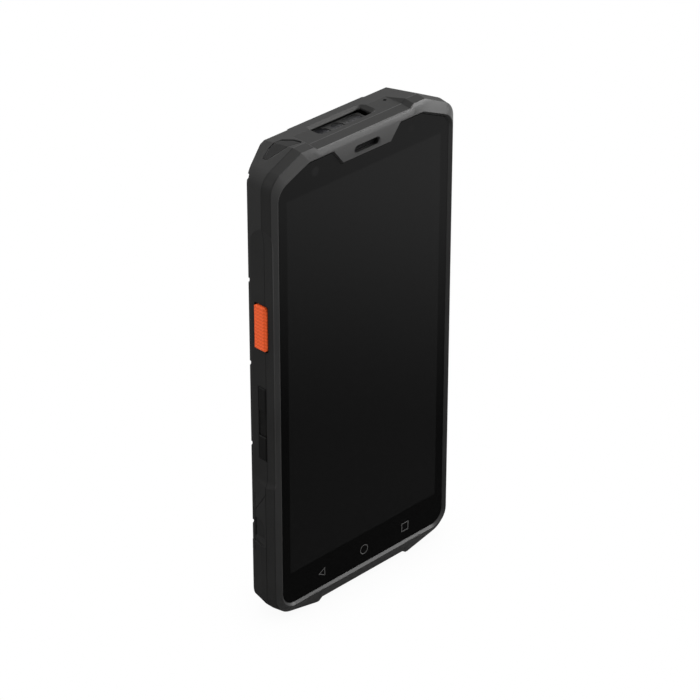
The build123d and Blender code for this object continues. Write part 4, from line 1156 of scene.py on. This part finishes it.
@dataclass
class Controls:
    """Triggers and side keys with their switches, and the rubber web between the volume keys."""

    web_low: float = 64.65 * MM
    web_high: float = 72.55 * MM
    web_front: float = GLASS_Y + 4.1 * MM
    web_back: float = GLASS_Y + 6.95 * MM
    web_foot: float = 36.0 * MM
    web_ends: float = 36.46 * MM
    web_middle: float = 36.28 * MM
    web_round: float = 0.7 * MM
    steps: int = 24
    round_steps: int = 6

    def build(self) -> None:
        """Dress the controls and join the volume keys."""
        Paint.nodes(Finish.ORANGE, "scan_trigger_left", "scan_trigger_right")
        Paint.nodes(Finish.KEY, "volume_up_key", "volume_down_key", "power_key")
        Paint.nodes(Finish.STEEL, "trigger_switches", "key_switches")
        self.build_web()

    def build_web(self) -> None:
        """Rubber web, lower at its middle and round along its edges."""
        mesh = bmesh.new()
        profile = self.profile()
        rows = []
        for step in range(self.steps + 1):
            part = step / self.steps
            height = self.web_low + part * (self.web_high - self.web_low)
            dip = math.sin(math.pi * part) ** 2
            crest = self.web_ends + dip * (self.web_middle - self.web_ends)
            rows.append([mesh.verts.new((-(self.web_foot + share * (crest - self.web_foot)), depth, height))
                         for depth, share in profile])
        for lower, upper in zip(rows, rows[1:]):
            for index in range(len(profile)):
                after = (index + 1) % len(profile)
                mesh.faces.new((lower[index], lower[after], upper[after], upper[index]))
        mesh.faces.new(rows[0])
        mesh.faces.new(rows[-1])
        bmesh.ops.recalc_face_normals(mesh, faces=mesh.faces)
        Maker.add(Maker.finish("volume_key_web", mesh), Finish.KEY, Body.TERMINAL, "key_rubber")

    def profile(self) -> list[Point]:
        """Section across the web.

        Returns:
            Depths with the share of the web's height there.
        """
        turns = [math.pi / 2 * step / self.round_steps for step in range(self.round_steps + 1)]
        front = [(self.web_front + self.web_round * (1 - math.cos(turn)), math.sin(turn))
                 for turn in turns]
        back = [(self.web_back - self.web_round * (1 - math.cos(turn)), math.sin(turn))
                for turn in reversed(turns)]
        return front + back


@dataclass(frozen=True)
class Opening:
    """Opening round one lens, by the lens's own place and size."""

    across: float
    half_width: float
    half_depth: float
    radius: float


@dataclass
class Scanner:
    """Scan window with the engine behind it."""

    face_low: float = 149.9 * MM
    face_high: float = 151.2 * MM
    face_middle: Point = (-0.815 * MM, GLASS_Y + 9.4 * MM)
    face_half: Point = (9.885 * MM, 3.3 * MM)
    face_radius: float = 1.5 * MM
    edge: float = 0.04 * MM
    gap: float = 0.15 * MM
    row: float = GLASS_Y + 9.8 * MM
    openings: tuple[Opening, ...] = (
        Opening(-7.4 * MM, 2.7 * MM, 2.7 * MM, 2.7 * MM),
        Opening(-1.2 * MM, 2.1 * MM, 2.1 * MM, 2.1 * MM),
        Opening(4.8 * MM, 3.1 * MM, 2.1 * MM, 1.2 * MM),
    )

    def build(self) -> None:
        """Dress the scanner and lay a face plate round its lenses."""
        Paint.nodes(Finish.CLEAR, "scan_window")
        Paint.nodes(Finish.ENGINE, "scan_engine")
        Paint.nodes(Finish.LENS, "scan_lenses")
        self.build_face()

    def build_face(self) -> None:
        """Plate on the engine with an opening round each lens."""
        rings = [Maker.rounded(self.face_middle, self.face_half, self.face_radius)]
        for opening in self.openings:
            half = (opening.half_width + self.gap, opening.half_depth + self.gap)
            rings.append(Maker.rounded((opening.across, self.row), half, opening.radius + self.gap))
        plate = Maker.slab("engine_face_plate", rings, self.face_low, self.face_high, self.edge)
        Maker.add(plate, Finish.FACE, Body.TERMINAL, "black_plastic")


class Inside:
    """Boards, battery, sockets and modules."""

    def build(self) -> None:
        """Dress the inner parts."""
        Paint.nodes(Finish.BOARD, "main_board", "lower_board")
        Paint.nodes(Finish.STEEL, "shield_cans", "usb_socket_shell", "vibration_motor", "microphones")
        Paint.nodes(Finish.BLACK, "usb_socket_tongue", "loudspeaker", "jack_socket", "rear_camera")
        Paint.nodes(Finish.MESH, "speaker_mesh")
        Paint.nodes(Finish.WRAP, "battery_pack")
        Paint.nodes(Finish.GOLD, "battery_terminals", "charging_contacts")
        Paint.nodes(Finish.TRIM, "rear_camera_trim")
        Paint.nodes(Finish.CAMERA_GLASS, "rear_camera_glass")
        Paint.nodes(Finish.PALE, "flash_window")


@dataclass(frozen=True)
class Lamp:
    """One soft square lamp, by its place in metres, its side and its power in watts."""

    name: str
    place: Place
    size: float
    power: float
    aim: Place = (0.0, 0.0, 0.08)

    def build(self) -> None:
        """Put the lamp in place."""
        data = bpy.data.lights.new(self.name, "AREA")
        data.shape = "SQUARE"
        data.size = self.size
        data.energy = self.power
        lamp = bpy.data.objects.new(self.name, data)
        lamp.location = self.place
        lamp.rotation_euler = (Vector(self.aim) - Vector(self.place)).to_track_quat("-Z", "Y").to_euler()
        bpy.context.scene.collection.objects.link(lamp)


@dataclass
class Studio:
    """Floor, world, lamps and camera."""

    floor_half: float = 6.0
    floor_height: float = -0.05 * MM
    floor_colour: Colour = (0.8, 0.8, 0.8)
    contact_reach: float = 0.02
    contact_level: float = 0.94
    # reach and level of the floor's painted shade in reflections
    mirror_near: float = 0.085
    mirror_far: float = 0.32
    mirror_level: float = 0.12
    world: float = 0.4
    eye: Place = (-0.56679, -0.56653, 0.54201)
    right: Place = (0.70606, -0.70816, 0.00061)
    up: Place = (0.35474, 0.35444, 0.86518)
    ahead: Place = (0.61290, 0.61065, -0.50147)
    lens: float = 160.25
    sensor: float = 36.0
    clip: float = 0.01
    lamps: tuple[Lamp, ...] = (
        Lamp("near_lamp", (0.30, -0.15, 0.28), 0.12, 1.80),
        Lamp("front_lamp", (0.50, -0.60, 0.20), 0.3, 1.55),
        Lamp("side_lamp", (-0.50, 0.40, 0.45), 0.3, 2.56),
        Lamp("back_lamp", (0.30, 0.30, 0.60), 0.3, 1.08),
        Lamp("top_lamp", (0.0, 0.0, 0.50), 0.2, 1.60),
        Lamp("rear_lamp", (0.15, 0.80, 0.20), 0.4, 3.0),
    )

    def build(self) -> None:
        """Set up the studio."""
        self.build_floor()
        self.build_world()
        for lamp in self.lamps:
            lamp.build()
        self.build_camera()
        bpy.context.scene.view_settings.view_transform = "Standard"

    def seen(self, tree: Tree) -> Socket:
        """Mask of rays that look at the background directly, in gloss or through glass.

        Args:
            tree: The material's or the world's tree.

        Returns:
            The mask.
        """
        path = tree.node("LightPath").outputs
        direct = tree.math("MAXIMUM", path["Is Camera Ray"], path["Is Glossy Ray"])
        return tree.math("MAXIMUM", direct, path["Is Transmission Ray"])

    def build_floor(self) -> None:
        """White floor, with a painted shadow where the terminal stands on it and painted shade near it in
        reflections.
        """
        mesh = bmesh.new()
        half = self.floor_half
        corners = ((-half, -half), (half, -half), (half, half), (-half, half))
        mesh.faces.new([mesh.verts.new((x, y, self.floor_height)) for x, y in corners])
        floor = Maker.finish("studio_floor", mesh)
        material = bpy.data.materials.new("studio_white")
        material.use_nodes = True
        material.node_tree.nodes.clear()
        tree = Tree(material.node_tree)
        near = tree.node("AmbientOcclusion", samples=8)
        tree.feed(near, Distance=self.contact_reach)
        # painted shadow under the terminal, from ambient occlusion
        contact_shade = tree.ramp(near.outputs["AO"], 0.0, 1.0, self.contact_level)
        away = tree.node("VectorMath", operation="LENGTH")
        tree.put(away.inputs[0], tree.place()[0])
        # painted shade: the floor dims near the terminal in reflections
        reflection_shade = tree.ramp(away.outputs["Value"], self.mirror_near, self.mirror_far, self.mirror_level)
        glow = tree.node("Emission")
        glossy = tree.node("LightPath").outputs["Is Glossy Ray"]
        tree.feed(glow, Strength=tree.mix("FLOAT", glossy, contact_shade, reflection_shade))
        matte = tree.node("BsdfDiffuse")
        tree.feed(matte, Color=self.floor_colour)
        mixed = tree.node("MixShader")
        for target, value in zip(mixed.inputs, (self.seen(tree), matte.outputs[0], glow.outputs[0])):
            tree.put(target, value)
        tree.feed(tree.node("OutputMaterial"), Surface=mixed.outputs[0])
        floor.data.materials.append(material)

    def build_world(self) -> None:
        """White backdrop that lights the scene dimly."""
        world = bpy.data.worlds.new("studio_world")
        bpy.context.scene.world = world
        world.use_nodes = True
        tree = Tree(world.node_tree)
        level = tree.ramp(self.seen(tree), 0.0, 1.0, self.world)
        tree.feed(world.node_tree.nodes["Background"], Color=grey(1.0), Strength=level)

    def build_camera(self) -> None:
        """Camera at the viewing angle of the catalogue view."""
        data = bpy.data.cameras.new("catalogue_camera")
        data.lens = self.lens
        data.sensor_width = self.sensor
        data.clip_start = self.clip
        camera = bpy.data.objects.new("catalogue_camera", data)
        basis = Matrix((self.right, self.up, [-part for part in self.ahead])).transposed()
        camera.matrix_world = Matrix.Translation(self.eye) @ basis.to_4x4()
        bpy.context.scene.collection.objects.link(camera)
        bpy.context.scene.camera = camera


def main() -> None:
    """Dress the terminal and set up the studio."""
    logging.basicConfig(level=logging.INFO)
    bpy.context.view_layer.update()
    for part in (ScreenSide(TouchKeys()), Casings(), Controls(), Scanner(), Inside(), Studio()):
        log.info("building %s", type(part).__name__)
        part.build()


if __name__ == "__main__":
    main()
